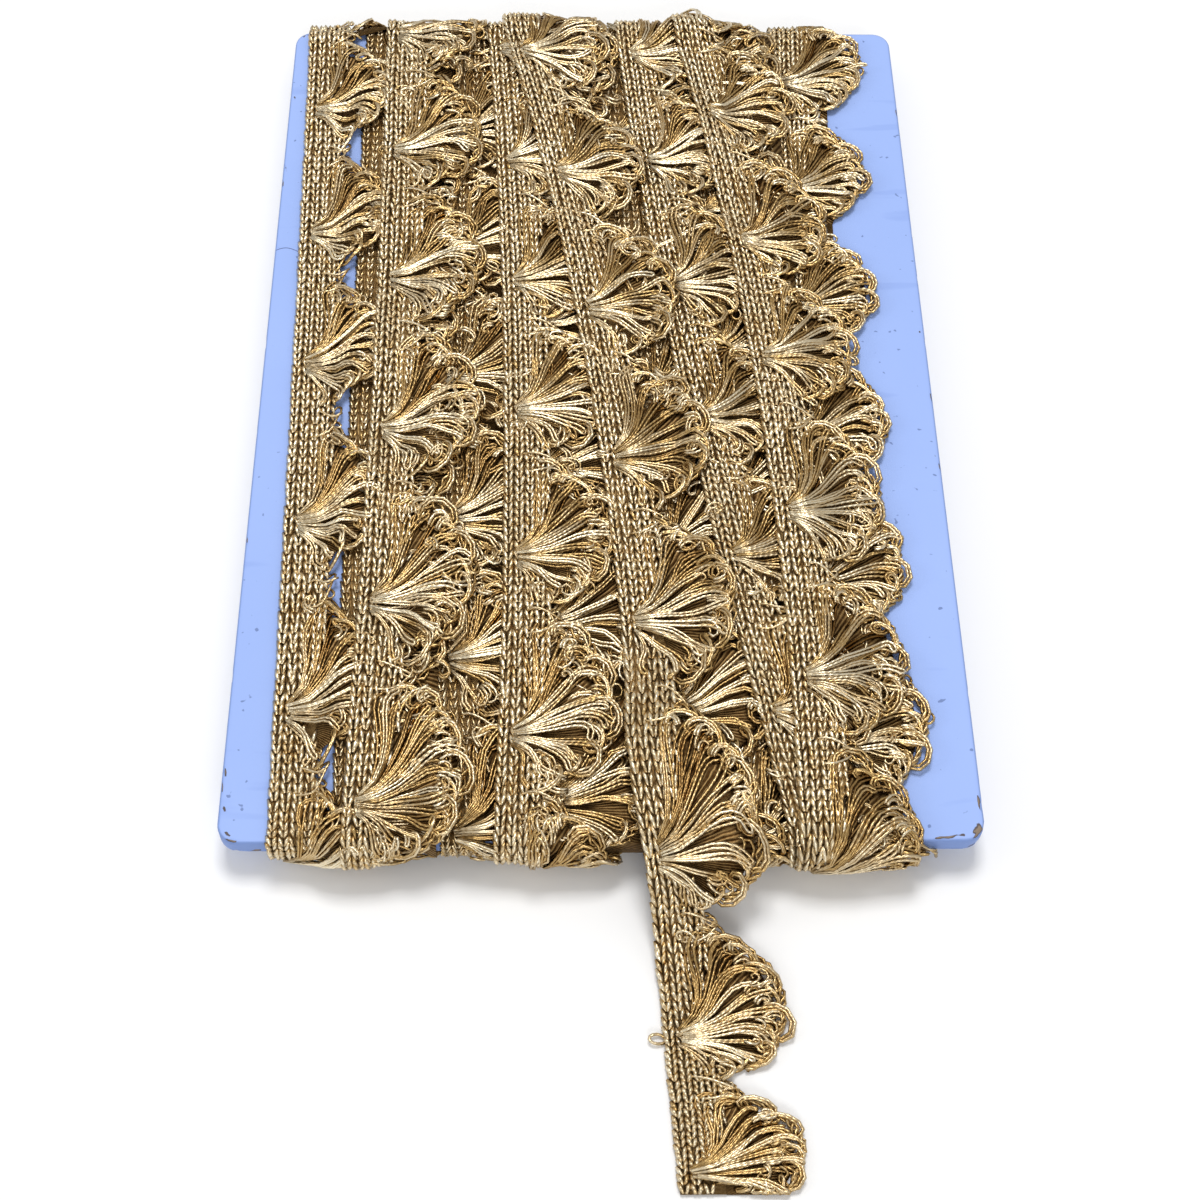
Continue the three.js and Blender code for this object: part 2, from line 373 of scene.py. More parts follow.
def card_paint():
    """Thin satin paint in clouds of lighter and darker blue, with tiny dark specks, faint scratches
    and the bare board where the edge is chipped, each chip with a dark rim. The sides are painted
    darker as shade."""
    material, tree, shader = new_material("card_paint")
    clouds = object_noise(tree, CLOUDS, 4)
    paint = colour_steps(tree, [(0.3, PAINT_DARK), (0.7, PAINT_LIGHT)], clouds)
    specks = mask(tree, 0.735, 0.775, 0.7, object_noise(tree, SPECKS, 1))
    paint = mixed(tree, specks, paint, SPECK_COLOUR)
    scratches = mask(tree, 0.64, 0.7, 0.28, object_noise(tree, SCRATCHES, 2, SCRATCH_STRETCH))
    paint = mixed(tree, scratches, paint, SCRATCH_COLOUR)
    paint = mixed(tree, crack_mask(tree), paint, CRACK_COLOUR)
    # Painted shade on the card's sides
    paint = mixed(tree, marked(tree, "side"), paint, SHADED_SIDE_PAINT)
    uneven = math_node(tree, "SUBTRACT", object_noise(tree, RAGGED_EDGES, 3), 0.5)
    ragged = math_node(tree, "ADD", marked(tree, "wear"), math_node(tree, "MULTIPLY", uneven, 0.8))
    bare = colour_steps(tree, [(0.45, BOARD_RIM), (0.6, BARE_BOARD)], ragged)
    painted = mixed(tree, mask(tree, 0.28, 0.36, 1.0, ragged), paint, bare)
    tree.links.new(painted, shader.inputs["Base Color"])
    shader.inputs["Roughness"].default_value = 0.55
    shader.inputs["Specular IOR Level"].default_value = 0.3
    add_bump(tree, object_noise(tree, BOARD_GRAIN, 5), 0.3, 0.0002)
    return material


card = painted_card()
card.data.materials.append(card_paint())
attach(card, "root")
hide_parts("card")

# Winding. The trim goes round the card in twelve turns: seven from right to left, then five on top
# of them, and the last one leaves over the near edge. Along is the distance on the lace from the far
# edge of the first turn, and left is the x of the left edge of its knitted heading.
CARD_HALF_LENGTH = (card_high.y - card_low.y) / 2 / MM
CARD_HALF_THICKNESS = (card_high.z - card_low.z) / 2 / MM
BEND_CENTRE = CARD_HALF_LENGTH - CARD_HALF_THICKNESS
FRONT_LENGTH = 2 * BEND_CENTRE
BEND_RADIUS = 4.0
BEND_LENGTH = math.pi * BEND_RADIUS
TURN_LENGTH = 2 * (FRONT_LENGTH + BEND_LENGTH)
USUAL_PITCH = 28.0
# far, middle and near are the left edge's x at the card's far edge, halfway and at its near edge.
# knots are the y of the shells' knots on the front. reach, where it isn't 1, widens or narrows the
# shells. show is the detail that the front is worked in. filled is how far the web reaches between
# shells, where other turns lie on it.
TURNS = [
    {"far": 31.0, "middle": 28.6, "near": 30.6, "reach": 0.94, "show": "right", "filled": 10.5,
     "knots": [64.4, 39.4, 14.0, -12.0, -38.5, -65.0]},
    {"far": 15.0, "middle": 16.0, "near": 17.0, "show": "part", "filled": 16.4,
     "knots": [64.0, 34.0, 4.0, -24.0, -52.0]},
    {"far": 0.5, "middle": 4.5, "near": 9.0, "show": "part",
     "knots": [52.0, 24.0, -4.0, -32.0, -60.3]},
    {"far": -13.0, "middle": -11.0, "near": -9.0, "show": "part", "filled": 15.0,
     "knots": [66.0, 38.0, 10.0, -18.0, -46.0, -74.0]},
    {"far": -26.0, "middle": -25.6, "near": -22.0, "show": "part", "filled": 12.0,
     "knots": [52.5, 26.5, 0.3, -27.3, -51.2]},
    {"far": -40.2, "middle": -38.6, "near": -37.0, "show": "part", "filled": 14.5,
     "knots": [64.0, 36.0, 8.0, -20.0, -48.0]},
    {"far": -50.2, "middle": -47.8, "near": -45.6, "reach": 0.8, "show": "open",
     "knots": [58.1, 29.7, 2.5, -27.5, -59.6]},
    {"far": -36.4, "middle": -35.0, "near": -35.5, "show": "inner",
     "knots": [75.5, 47.2, 19.4, -10.9, -42.2, -74.9]},
    {"far": -18.8, "middle": -14.7, "near": -14.8, "show": "inner",
     "knots": [72.0, 45.2, 18.8, -7.3, -34.1, -63.7]},
    {"far": 3.6, "middle": 12.3, "near": 25.5, "reach": 0.95, "show": "full",
     "knots": [70.2, 44.8, 17.8, -9.4, -34.5, -60.5]},
    {"far": 13.4, "middle": 24.3, "near": 26.5, "show": "full",
     "knots": [56.0, 27.0, 2.7, -27.4, -55.7]},
    {"far": -16.4, "middle": -1.6, "near": 4.4, "show": "inner",
     "knots": [69.6, 41.8, 12.8, -16.6, -45.4]},
]
LACE_START = -46.0
LEAVES_CARD_Y = -57.0
LOOSE_END = [
    {"y": -48.0, "under": 10.6, "left": 2.6},
    {"y": -57.0, "under": 10.8, "left": 2.9},
    {"y": -66.0, "under": 11.2, "left": 3.2},
    {"y": -75.0, "under": 11.3, "left": 4.2},
    {"y": -81.5, "under": 9.6, "left": 5.4},
    {"y": -86.0, "under": 6.0, "left": 6.3},
    {"y": -90.0, "under": 2.4, "left": 6.8},
    {"y": -95.5, "under": 0.3, "left": 7.2},
    {"y": -102.0, "under": 0.0, "left": 7.7},
    {"y": -113.0, "under": 0.0, "left": 8.5},
    {"y": -125.5, "under": 0.0, "left": 9.3},
]
LOOSE_KNOTS = [-82.0, -104.5, -122.5]
COURSE_STEP = 0.5
# Lengths over which the loose path and the left edge are eased, and the two are blended
LOOSE_EASE = 2.2
EDGE_EASE = 5.0
LEAVE_BLEND = 8.0
# Knots before the first listed one, how much the pitch may give before a knot is added, and the last
# knot's share of the pitch
KNOTS_BEFORE = 5
PITCH_GIVES = 0.6
LAST_PITCH = 0.75
# The course is worked out for this much more lace before its start and past its cut
COURSE_BEFORE = 40
COURSE_PAST = 12


def blurred(values, sigma, axis=0):
    """Mean of the neighbours along one axis, weighted by a bell curve, the ends repeated outwards."""
    reach = int(3 * sigma + 1)
    offsets = np.arange(-reach, reach + 1)
    weights = np.exp(-0.5 * (offsets / sigma) ** 2)
    weights /= weights.sum()
    places = np.arange(values.shape[axis])
    return sum(
        weight * values.take(np.clip(places + offset, 0, places[-1]), axis)
        for offset, weight in zip(offsets, weights)
    )


def of_turns(name, usual=0.0):
    """One listed value of every turn, or the usual one for turns that list none."""
    return np.array([turn.get(name, usual) for turn in TURNS])


def turn_at(places):
    """Number of the turn at places along the lace, the first or last one for places beyond."""
    return np.clip(np.floor(places / TURN_LENGTH).astype(int), 0, len(TURNS) - 1)


def loose_path(steps):
    """The loose end's middle line at even steps: y, height of its underside and left edge."""
    rows = np.array([[row["y"], row["under"], row["left"]] for row in LOOSE_END])
    length = np.concatenate([[0], np.cumsum(np.hypot(*np.diff(rows[:, :2], axis=0).T))])
    fine = np.arange(0, length[-1] + COURSE_STEP, COURSE_STEP)
    line = np.stack([np.interp(fine, length, column) for column in rows.T], 1)
    eased = blurred(line, LOOSE_EASE / COURSE_STEP)
    moved = np.concatenate([[0], np.cumsum(np.hypot(*np.diff(eased[:, :2], axis=0).T))])
    return np.stack([np.interp(steps, moved, column) for column in eased.T], 1), moved[-1]


def knot_places():
    """Along the lace, the place of every knot: as listed on the fronts and the loose end, and
    spread evenly over the bends and the back between them."""
    listed = []
    for number, turn in enumerate(TURNS):
        for y in turn["knots"]:
            listed.append(number * TURN_LENGTH + BEND_CENTRE - y)
    listed += list(LOOSE_START + np.interp(LOOSE_KNOTS, loose_line[::-1, 0], loose_steps[::-1]))
    listed = [listed[0] - KNOTS_BEFORE * USUAL_PITCH] + sorted(listed)
    places = [listed[:1]]
    for before, after in zip(listed[:-1], listed[1:]):
        parts = max(1, round((after - before) / (USUAL_PITCH + PITCH_GIVES)))
        places.append(before + (after - before) * np.arange(1, parts + 1) / parts)
    return np.concatenate(places)


LEAVES_AT = (len(TURNS) - 1) * TURN_LENGTH + BEND_CENTRE - LEAVES_CARD_Y
# Where the loose path's first row lies on the last turn
LOOSE_START = LEAVES_AT - (LOOSE_END[0]["y"] - LEAVES_CARD_Y)
loose_reach = loose_path(np.zeros(1))[1]
loose_steps = np.arange(0, loose_reach, COURSE_STEP)
loose_line = loose_path(loose_steps)[0]
LACE_CUT = LOOSE_START + loose_reach
knots = np.unique(knot_places())
knots = np.append(knots, knots[-1] + USUAL_PITCH * LAST_PITCH)
numbers = np.arange(len(knots))
along = np.arange(LACE_START - COURSE_BEFORE, LACE_CUT + COURSE_PAST, COURSE_STEP)


def wound_line(along):
    """Where the lace runs on the card: for each place along it the y of the line at the middle of
    the board's thickness, the outward direction, the left edge, the share of a turn's back and how
    far it is round a bend. On a front the left edge is a quadratic through its three places."""
    rest = along - np.floor(along / TURN_LENGTH) * TURN_LENGTH
    front_end, back_start, back_end = np.cumsum([FRONT_LENGTH, BEND_LENGTH, FRONT_LENGTH])
    near_turn = np.clip((rest - front_end) / BEND_LENGTH, 0, 1)
    far_turn = np.clip((rest - back_end) / BEND_LENGTH, 0, 1)
    angle = (near_turn + far_turn) * np.pi
    y = np.where(rest < front_end, BEND_CENTRE - rest, -BEND_CENTRE)
    y = np.where(rest > back_start, -BEND_CENTRE + rest - back_start, y)
    y = np.where(rest > back_end, BEND_CENTRE, y)
    far, middle, near = (of_turns(name)[turn_at(along)] for name in ("far", "middle", "near"))
    u = y / CARD_HALF_LENGTH
    front = middle + (far - near) / 2 * u + ((far + near) / 2 - middle) * u * u
    arriving = of_turns("far")[turn_at(along + TURN_LENGTH)]
    back = near + (arriving - near) * np.clip((rest - back_start) / FRONT_LENGTH, 0, 1)
    left = blurred(np.where(rest <= front_end, front, back), EDGE_EASE / COURSE_STEP)
    return y, -np.sin(angle), np.cos(angle), left, (1 - np.cos(angle)) / 2, np.sin(angle) ** 2


spine_y, out_y, out_z, left_edge, backness, bend = wound_line(along)
reach_of_turn = of_turns("reach", 1.0)

# Layers. Each turn rests on those under it, so its ground follows the heap below, eased the way
# tight cloth bridges small steps. The heap is kept as a height over the card at places round it
# and across it, and every turn adds its own thickness.
ACROSS_START = -2.0
ACROSS_STEP = 0.5
ACROSS_COUNT = 47
HEAP_LEFT = -60.0
HEAP_COUNT = 250
HEADING_WIDTH = 6.6
HEADING_THICKNESS = 1.05
SHELL_THICKNESS = 0.85
SHELL_MIDDLE = np.array([3.3, 4.7])
SHELL_RADIUS = 13.6
BEND_SQUEEZE = 0.3
# A shell's share of the pattern beyond its knot, towards the far edge
SHELL_BEYOND_KNOT = 0.66
# The highest of so many rows and columns on each side holds the ground up, then it is eased. It
# sinks into high places by no more than this, and lies a gap over the heap and the board's edge
BRIDGED = (3, 2)
EASED = (5, 2.2)
SINKS_BY = 0.35
LAYER_GAP = 0.1
EDGE_GAP = 0.15
across = ACROSS_START + ACROSS_STEP * np.arange(ACROSS_COUNT)


def place_in_pattern(along):
    """v: distance from the shell's own knot on the usual pattern, positive towards the far edge."""
    pattern = np.interp(along, knots, numbers)
    return (SHELL_BEYOND_KNOT - np.mod(pattern + SHELL_BEYOND_KNOT, 1)) * USUAL_PITCH


def highest(values, reach, axis):
    """The highest of the neighbours along one axis."""
    places = np.arange(values.shape[axis])
    shifted = [
        values.take(np.clip(places + offset, 0, places[-1]), axis) for offset in range(-reach, reach + 1)
    ]
    return np.max(shifted, 0)


def widened(x, by):
    """Places across the lace, with those past the heading spread out from its right edge."""
    return np.where(x > HEADING_WIDTH, HEADING_WIDTH + (x - HEADING_WIDTH) * by, x)


def thickness(v, across, reach):
    """Heading as a band with soft edges, and each shell as a disc round its middle."""
    inside = np.minimum(across + 0.5, HEADING_WIDTH + 0.3 - across)
    heading = HEADING_THICKNESS * np.clip(inside * 2, 0, 1)
    middle_x, middle_v = SHELL_MIDDLE
    distance = np.hypot(widened(across, 1 / reach) - middle_x, (v - middle_v) / reach)
    shell = SHELL_THICKNESS * np.clip((SHELL_RADIUS + 0.5 - distance) / 1.5, 0, 1)
    return np.maximum(heading, np.where(across > 0, shell, 0))


def between(places, count):
    """The cell below each place in a row of cells, and how far on it is towards the next one."""
    cell = np.clip(places, 0, count - 1.001)
    lower = cell.astype(int)
    return lower, cell - lower


def stack_turns():
    """Height of the lace's ground over the board, for each place along and across the lace."""
    rows = int(round(TURN_LENGTH / COURSE_STEP))
    heap = np.zeros((rows, HEAP_COUNT))
    corner = CARD_HALF_THICKNESS / np.maximum(np.abs(out_y), np.abs(out_z)) - CARD_HALF_THICKNESS
    ground = np.zeros((len(along), ACROSS_COUNT))
    grid_x = HEAP_LEFT + ACROSS_STEP * np.arange(HEAP_COUNT)
    turn_of = np.floor(along / TURN_LENGTH).astype(int)
    for turn in range(-1, len(TURNS)):
        here = np.flatnonzero(turn_of == turn)
        left = left_edge[here, None]
        row = np.round((along[here] - turn * TURN_LENGTH) / COURSE_STEP).astype(int) % rows
        lower, part = between((left + across[None] - HEAP_LEFT) / ACROSS_STEP, HEAP_COUNT)
        below = heap[row[:, None], lower] * (1 - part) + heap[row[:, None], lower + 1] * part
        eased = highest(highest(below, BRIDGED[0], 0), BRIDGED[1], 1)
        eased = blurred(blurred(eased, EASED[0], 0), EASED[1], 1)
        base = np.maximum(eased, below - SINKS_BY) + LAYER_GAP
        base = np.maximum(base, corner[here, None] + EDGE_GAP)
        ground[here] = base
        v = place_in_pattern(along[here])[:, None]
        thick = thickness(v, across[None], reach_of_turn[max(turn, 0)])
        top = np.where(thick > 0, base + thick * (1 - BEND_SQUEEZE * bend[here, None]), 0)
        cell = (grid_x[None] - left - ACROSS_START) / ACROSS_STEP
        lower = np.clip(cell.astype(int), 0, ACROSS_COUNT - 2)
        part = np.clip(cell - lower, 0, 1)
        order = np.arange(len(here))[:, None]
        laid = top[order, lower] * (1 - part) + top[order, lower + 1] * part
        laid = np.where((cell < 0) | (cell > ACROSS_COUNT - 1), 0, laid)
        heap[row] = np.maximum(heap[row], laid)
    return ground


ground_height = stack_turns()


def leave_the_card():
    """Past the place where the last turn leaves, the line changes over to the loose path. There the
    ground is the path itself, so the outward offset of the board and the heap fade away."""
    path = loose_path(np.clip(along - LOOSE_START, 0, loose_reach))[0]
    past_end = np.maximum(along - LACE_CUT, 0)
    share = np.clip((along - LEAVES_AT + LEAVE_BLEND) / (2 * LEAVE_BLEND), 0, 1)
    share = share * share * (3 - 2 * share)
    slope_y = np.gradient(path[:, 0])
    slope_z = np.gradient(path[:, 1])
    size = np.maximum(np.hypot(slope_y, slope_z), 1e-9)
    straight = size < 1e-6
    path_out_y = np.where(straight, 0, slope_z / size)
    path_out_z = np.where(straight, 1, -slope_y / size)
    y = spine_y + out_y * CARD_HALF_THICKNESS
    z = card_middle.z / MM + out_z * CARD_HALF_THICKNESS
    wound = (y, z, out_y, out_z, left_edge, backness)
    loose = (path[:, 0] - past_end, path[:, 1], path_out_y, path_out_z, path[:, 2], 0)
    line = [on_card * (1 - share) + off_it * share for on_card, off_it in zip(wound, loose)]
    return *line, ground_height * (1 - share)[:, None]


line_y, line_z, out_y, out_z, left_edge, backness, ground_height = leave_the_card()
PRESSED_FROM = 1.9
PRESSED_ROOM = 1.9
FLOOR_EASE = 0.5


def lay(points):
    """Puts flat lace on its course: across from the left edge, along the lace and up from its
    ground become x, y and z. On the back the heap is pressed to fit under the board, and near
    the floor heights fade to nothing and never below it."""
    flat = points.reshape(-1, 3)
    row, part = between((flat[:, 1] - along[0]) / COURSE_STEP, len(along))
    column, aside = between((flat[:, 0] - ACROSS_START) / ACROSS_STEP, ACROSS_COUNT)

    def read(values):
        return values[row] * (1 - part) + values[row + 1] * part

    def read_ground(row):
        return ground_height[row, column] * (1 - aside) + ground_height[row, column + 1] * aside

    up = read_ground(row) * (1 - part) + read_ground(row + 1) * part + flat[:, 2]
    over = np.maximum(up - PRESSED_FROM, 0)
    pressed = np.minimum(up, PRESSED_FROM) + PRESSED_ROOM * (1 - np.exp(-over / PRESSED_ROOM))
    up = up + read(backness) * (pressed - up)
    x = read(left_edge) + flat[:, 0] + card_middle.x / MM
    y = read(line_y) + read(out_y) * up + card_middle.y / MM
    z = read(line_z) + read(out_z) * up
    z = np.where(z < FLOOR_EASE, FLOOR_EASE * np.exp(np.minimum(z - FLOOR_EASE, 0) / FLOOR_EASE), z)
    return np.stack([x, y, z], 1)


# Threads. Everything in the lace is worked from one metallic yarn about 0.42 mm thick, so each
# stitch, strand and loop is a thin tube along its own line in the flat lace, laid on the course
# afterwards. Lines are worked for every shell at once, with v counted from the shell's knot.
YARN_RADIUS = 0.21
TUBE_SIDES = 4
# Gap between strips on the bake map, and how much wider the map is than the strips need
BAKE_GAP = 0.5
BAKE_ROOM = 1.03


def swept(lines, radius, closed):
    """Rings round each line: side is level and square to the line, up is square to both, and a ring
    point is the line's point plus radius times cosine of side plus sine of up."""
    if closed:
        ahead = np.roll(lines, -1, 1) - np.roll(lines, 1, 1)
    else:
        ahead = np.gradient(lines, axis=1)
    ahead /= np.maximum(np.linalg.norm(ahead, axis=-1, keepdims=True), 1e-9)
    side = np.stack([ahead[..., 1], -ahead[..., 0], np.zeros_like(ahead[..., 0])], -1)
    side /= np.maximum(np.linalg.norm(side, axis=-1, keepdims=True), 1e-9)
    up = np.cross(side, ahead)
    angle = (np.arange(TUBE_SIDES) * 2 * np.pi / TUBE_SIDES + np.pi / 2)[:, None]
    ring = np.cos(angle) * side[:, :, None] + np.sin(angle) * up[:, :, None]
    return lines[:, :, None] + radius[..., None, None] * ring


def ring_faces(threads, points, closed):
    """Corner numbers of the tubes' faces, with the place of each corner along and round its tube.
    Open tubes get one end face at both ends."""
    spans = points if closed else points - 1
    ring, side = np.meshgrid(np.arange(spans), np.arange(TUBE_SIDES), indexing="ij")
    steps = [(ring, side), (ring, side + 1), (ring + 1, side + 1), (ring + 1, side)]
    corners = [r % points * TUBE_SIDES + s % TUBE_SIDES for r, s in steps]
    faces = np.stack(corners, -1).reshape(-1, 4)
    places = np.stack([np.stack([r, s / TUBE_SIDES], -1) for r, s in steps], -2).reshape(-1, 4, 2)
    if not closed:
        end = np.arange(TUBE_SIDES)[None]
        faces = np.concatenate([faces, end[:, ::-1], end + (points - 1) * TUBE_SIDES])
        first = np.stack([np.zeros(end.shape), end / TUBE_SIDES], -1)
        last = np.stack([np.full(end.shape, points - 1.0), end / TUBE_SIDES], -1)
        places = np.concatenate([places, first[:, ::-1], last])
    every = np.arange(threads)[:, None, None] * points * TUBE_SIDES + faces[None]
    return every.reshape(-1, 4), np.broadcast_to(places, (threads,) + places.shape)


def thread_batch(lines, radius, tone_and_light, top, closed):
    """Tubes of like threads as plain arrays, ready to be joined with others into one piece. Depth
    is a point's height over the ground as a share of the top, from which the colour is painted paler
    as a highlight high up and browner as shade deep down."""
    rings = swept(lines, radius, closed)
    faces, places = ring_faces(len(lines), lines.shape[1], closed)
    pieces = np.linalg.norm(np.diff(lines, axis=1, append=lines[:, :1]), axis=-1)
    length = np.concatenate([np.zeros((len(lines), 1)), np.cumsum(pieces, 1)], 1)
    ring = places[..., 0].astype(int)
    run = np.take_along_axis(length, ring.reshape(len(lines), -1), 1)
    # Painted highlight and shade: high points are painted paler, deep ones browner
    depth = np.clip(lines[:, :, 2] / top, 0, 1)
    return {
        "points": lay(rings),
        "faces": faces,
        "run": run.reshape(-1, 4),
        "round": places[..., 1].reshape(-1, 4),
        "strip": np.repeat(np.arange(len(lines)), faces.shape[0] // max(len(lines), 1)),
        "lengths": length[:, -1],
        "tone_and_light": np.broadcast_to(tone_and_light[:, None, None], rings.shape[:3]).ravel(),
        "depth": np.broadcast_to(depth[..., None], rings.shape[:3]).ravel(),
    }


def pack_strips(lengths, girth):
    """Start of each tube's strip on the bake map: end to end in rows as long as the map is high."""
    starts = np.cumsum(lengths + BAKE_GAP) - lengths - BAKE_GAP
    row_height = girth + BAKE_GAP
    side = math.sqrt(lengths.sum() * row_height) * BAKE_ROOM
    row = np.floor(starts / side)
    return starts - row * side, row * row_height, side + lengths.max()


def thread_piece(name, batches):
    """One mesh from batches of threads, with a Thread map in millimetres along and turns round the
    tube, and a bake map on which no two strips overlap."""

    def joined(value):
        return np.concatenate([batch[value] for batch in batches])

    def numbered(value, counted):
        counts = np.cumsum([0] + [len(batch[counted]) for batch in batches])
        return np.concatenate([batch[value] + count for batch, count in zip(batches, counts)])

    piece = surface(name, joined("points"), numbered("faces", "points"))
    strip = numbered("strip", "lengths")
    run, turns = joined("run"), joined("round")
    girth = 2 * np.pi * YARN_RADIUS
    start, row, side = pack_strips(joined("lengths"), girth)
    baked = np.stack([run + start[strip][:, None], turns * girth + row[strip][:, None]], -1) / side
    for map_name, places in (("OFBake", baked), ("Thread", np.stack([run, turns], -1))):
        layer = piece.data.uv_layers.new(name=map_name)
        layer.uv.foreach_set("vector", places.astype(np.float32).ravel())
    for value in ("tone_and_light", "depth"):
        mark(piece, value, joined(value))
    return piece


# Past the cut the rim's long strands fold back by this share of what would have hung over
CUT_FOLDS_BACK = 0.3
# Each thread's own tone, from dull to bright
USUAL_TONE = 0.5
TONE_SPREAD = 0.17


def on_the_lace(lines, shells):
    """Flat lines of many shells, threads x points, put at their place along the lace: v becomes the
    distance along it by the knots on both sides, and the far side of wide or narrow turns is scaled.
    Short threads beyond the cut are left out."""
    each = (-1,) + (1,) * (lines.ndim - 2)
    widen = reach_of_turn[turn_at(knots[shells])].reshape(each)
    across, v, height = np.moveaxis(lines, -1, 0)
    v = v + (v - SHELL_MIDDLE[1]) * (widen - 1) * np.clip((across - HEADING_WIDTH) / 3, 0, 1)
    place = np.interp(shells.reshape(each) - v / USUAL_PITCH, numbers, knots)
    laid = np.stack([widened(across, widen), place, height], -1).reshape(-1, *lines.shape[-2:])
    first, last = laid[..., 1].min(1), laid[..., 1].max(1)
    long = np.ptp(laid[..., 1], axis=1) > USUAL_PITCH * 0.5
    inside = (first < LACE_CUT) & (last > LACE_START) & (long | (last < LACE_CUT + 1.0))
    beyond = np.maximum(laid[..., 1] - LACE_CUT, 0)
    laid[..., 1] = np.maximum(laid[..., 1] - (1 + CUT_FOLDS_BACK) * beyond, LACE_START)
    return laid, inside


def worked(lines, radius, shells, rng, top=1.4, painted_light=0.0, closed=False):
    """A batch from flat lines of many shells, without those that lie past either end of the lace."""
    laid, inside = on_the_lace(lines, shells)
    radius = np.broadcast_to(radius, lines.shape[:-1]).reshape(laid.shape[:2])
    # Each thread's random tone, plus painted light: above nought a painted highlight, below it painted
    # shade
    tone_and_light = np.clip(rng.normal(USUAL_TONE, TONE_SPREAD, len(laid)) + painted_light, 0, 1)
    return thread_batch(laid[inside], radius[inside], tone_and_light[inside], top, closed)


# Heading. A band of four and a half columns of knitted stitches along the left edge. Each stitch
# is a V of two short fat legs that points towards the near edge, its upper ends tucked under.
WALE_PITCH = 1.6
FIRST_WALE = 0.85
WALES = 4
COURSES = 19
PATTERN_LOW = -10.0
LEG_RADIUS = 0.37
LEG_SPREAD = 0.7
LEG_TUCK = 0.16
LEG_RISE = 1.04
LEG_LOW = 0.4
LEG_ARCH = 0.44
# Beside a knot the shell covers the columns on the right down to this distance from the left edge,
# and so far along on each side of it
COVERED_FROM = 2.9
COVERED_ABOVE = 12.0
COVERED_BELOW = 5.5


def heading_legs(shells, rng, rings, courses):
    """For each wale, course and side: a line from the outer top to the inner bottom of the V."""
    share = np.linspace(0, 1, rings)
    wale = FIRST_WALE + WALE_PITCH * np.arange(WALES + 1)
    course = PATTERN_LOW + USUAL_PITCH * (np.arange(courses) + 0.5) / courses
    side = np.array([[-1.0], [1.0]])
    w = wale[:, None, None, None] + side * (LEG_SPREAD + (LEG_TUCK - LEG_SPREAD) * share)
    v = course[:, None, None] + (1 - 2 * share) * LEG_RISE * COURSES / courses
    w, v = np.broadcast_arrays(w, v[None])
    h = LEG_LOW + LEG_ARCH * np.sin(np.pi * (0.02 + 0.75 * share))
    from_knot = np.where(course > 0, course / COVERED_ABOVE, -course / COVERED_BELOW)
    covered = COVERED_FROM + (wale[-1] + 0.5 - COVERED_FROM) * np.clip(from_knot, 0, 1)
    both = np.repeat((wale[:, None] < covered)[..., None], 2, -1)
    both[-1, :, 1] = False
    legs = np.stack([w, v, np.broadcast_to(h, w.shape)], -1)[both]
    legs = np.broadcast_to(legs, (len(shells),) + legs.shape).copy()
    shape = legs.shape[:2] + (1,)
    legs[..., 0] += rng.normal(0, 0.05, shape) + rng.normal(0, 0.03, legs.shape[:3])
    legs[..., 1] += rng.normal(0, 0.09, shape)
    legs[..., 2] += rng.normal(0, 0.05, shape)
    radius = LEG_RADIUS * np.sin(np.pi * (0.2 + 0.6 * share)) * rng.normal(1, 0.08, shape)
    return legs, radius


# Shells. From a knot beside the second column of stitches, strands of yarn fan out in hairpins
# that gather in a few bunches with dark gaps between. Those that swing up beside the heading lie
# deeper and are painted duller, with painted shade. All leave the knot nearly level, bend out, and
# hook down along the rim.
KNOT_ACROSS = 2.3
KNOT_GATHER = 1.5
KNOT_SPREAD = 0.2
STRAND_FROM = math.radians(-80)
STRAND_TO = math.radians(76)
STRAND_END_RADIUS = 11.8
STRAND_END_SPREAD = 0.6
STRAND_SPREAD = 0.31
STRAND_WAVER = 0.5
DEEP_FROM = math.radians(34)
DEEP_BY = 0.5
# Painted shade: the deep strands' tone is lowered by this much
DEEP_STRANDS_SHADE = 0.35
# Above 1, the strands stand closer together the further up they swing
CROWDED_UP = 1.3
BUNCHES = 5.5
BUNCHING = 0.32
HOOK = 0.6
HOOK_SPREAD = 0.5
# A strand leaves the knot and arrives at the rim at these shares of its angle, and keeps to each way
# for these shares of its length
LEAVES_AT_SHARE = 0.45
ARRIVES_AT_SHARE = 0.7
LEAVES_FOR = 0.4
ARRIVES_FOR = 0.28
# Above 1, a strand's points stand closer together towards its outer end
FINER_OUTWARDS = 1.35
LOOP_LENGTH = 1.8
STRAND_LIFT = 1.4
STRAND_DROP = 0.5
LIFT_SPREAD = 0.27
LIFT_WAVER = 0.2
LOWEST_LIFT = 0.3


def round_shell(distance, angle):
    """Places at a distance and an angle round the shell's middle."""
    return SHELL_MIDDLE + distance[..., None] * unit(angle)


def raised(flat, height):
    """Flat places, each with its height over the ground."""
    return np.concatenate([flat, height[..., None]], -1)


def full_turn(points):
    return np.arange(points) * 2 * np.pi / points


def slow_wave(rng, share, slowest, quickest, size):
    """Sine along a thread, of random quickness and start for each shell or thread."""
    return np.sin(share * rng.uniform(slowest, quickest, size) + rng.uniform(0, 6, size))


def bezier(first, second, third, fourth, share):
    """Cubic curve from first to fourth that leaves towards second and arrives from third."""
    share = share[:, None]
    return (
        first[..., None, :] * (1 - share) ** 3
        + 3 * second[..., None, :] * share * (1 - share) ** 2
        + 3 * third[..., None, :] * share**2 * (1 - share)
        + fourth[..., None, :] * share**3
    )


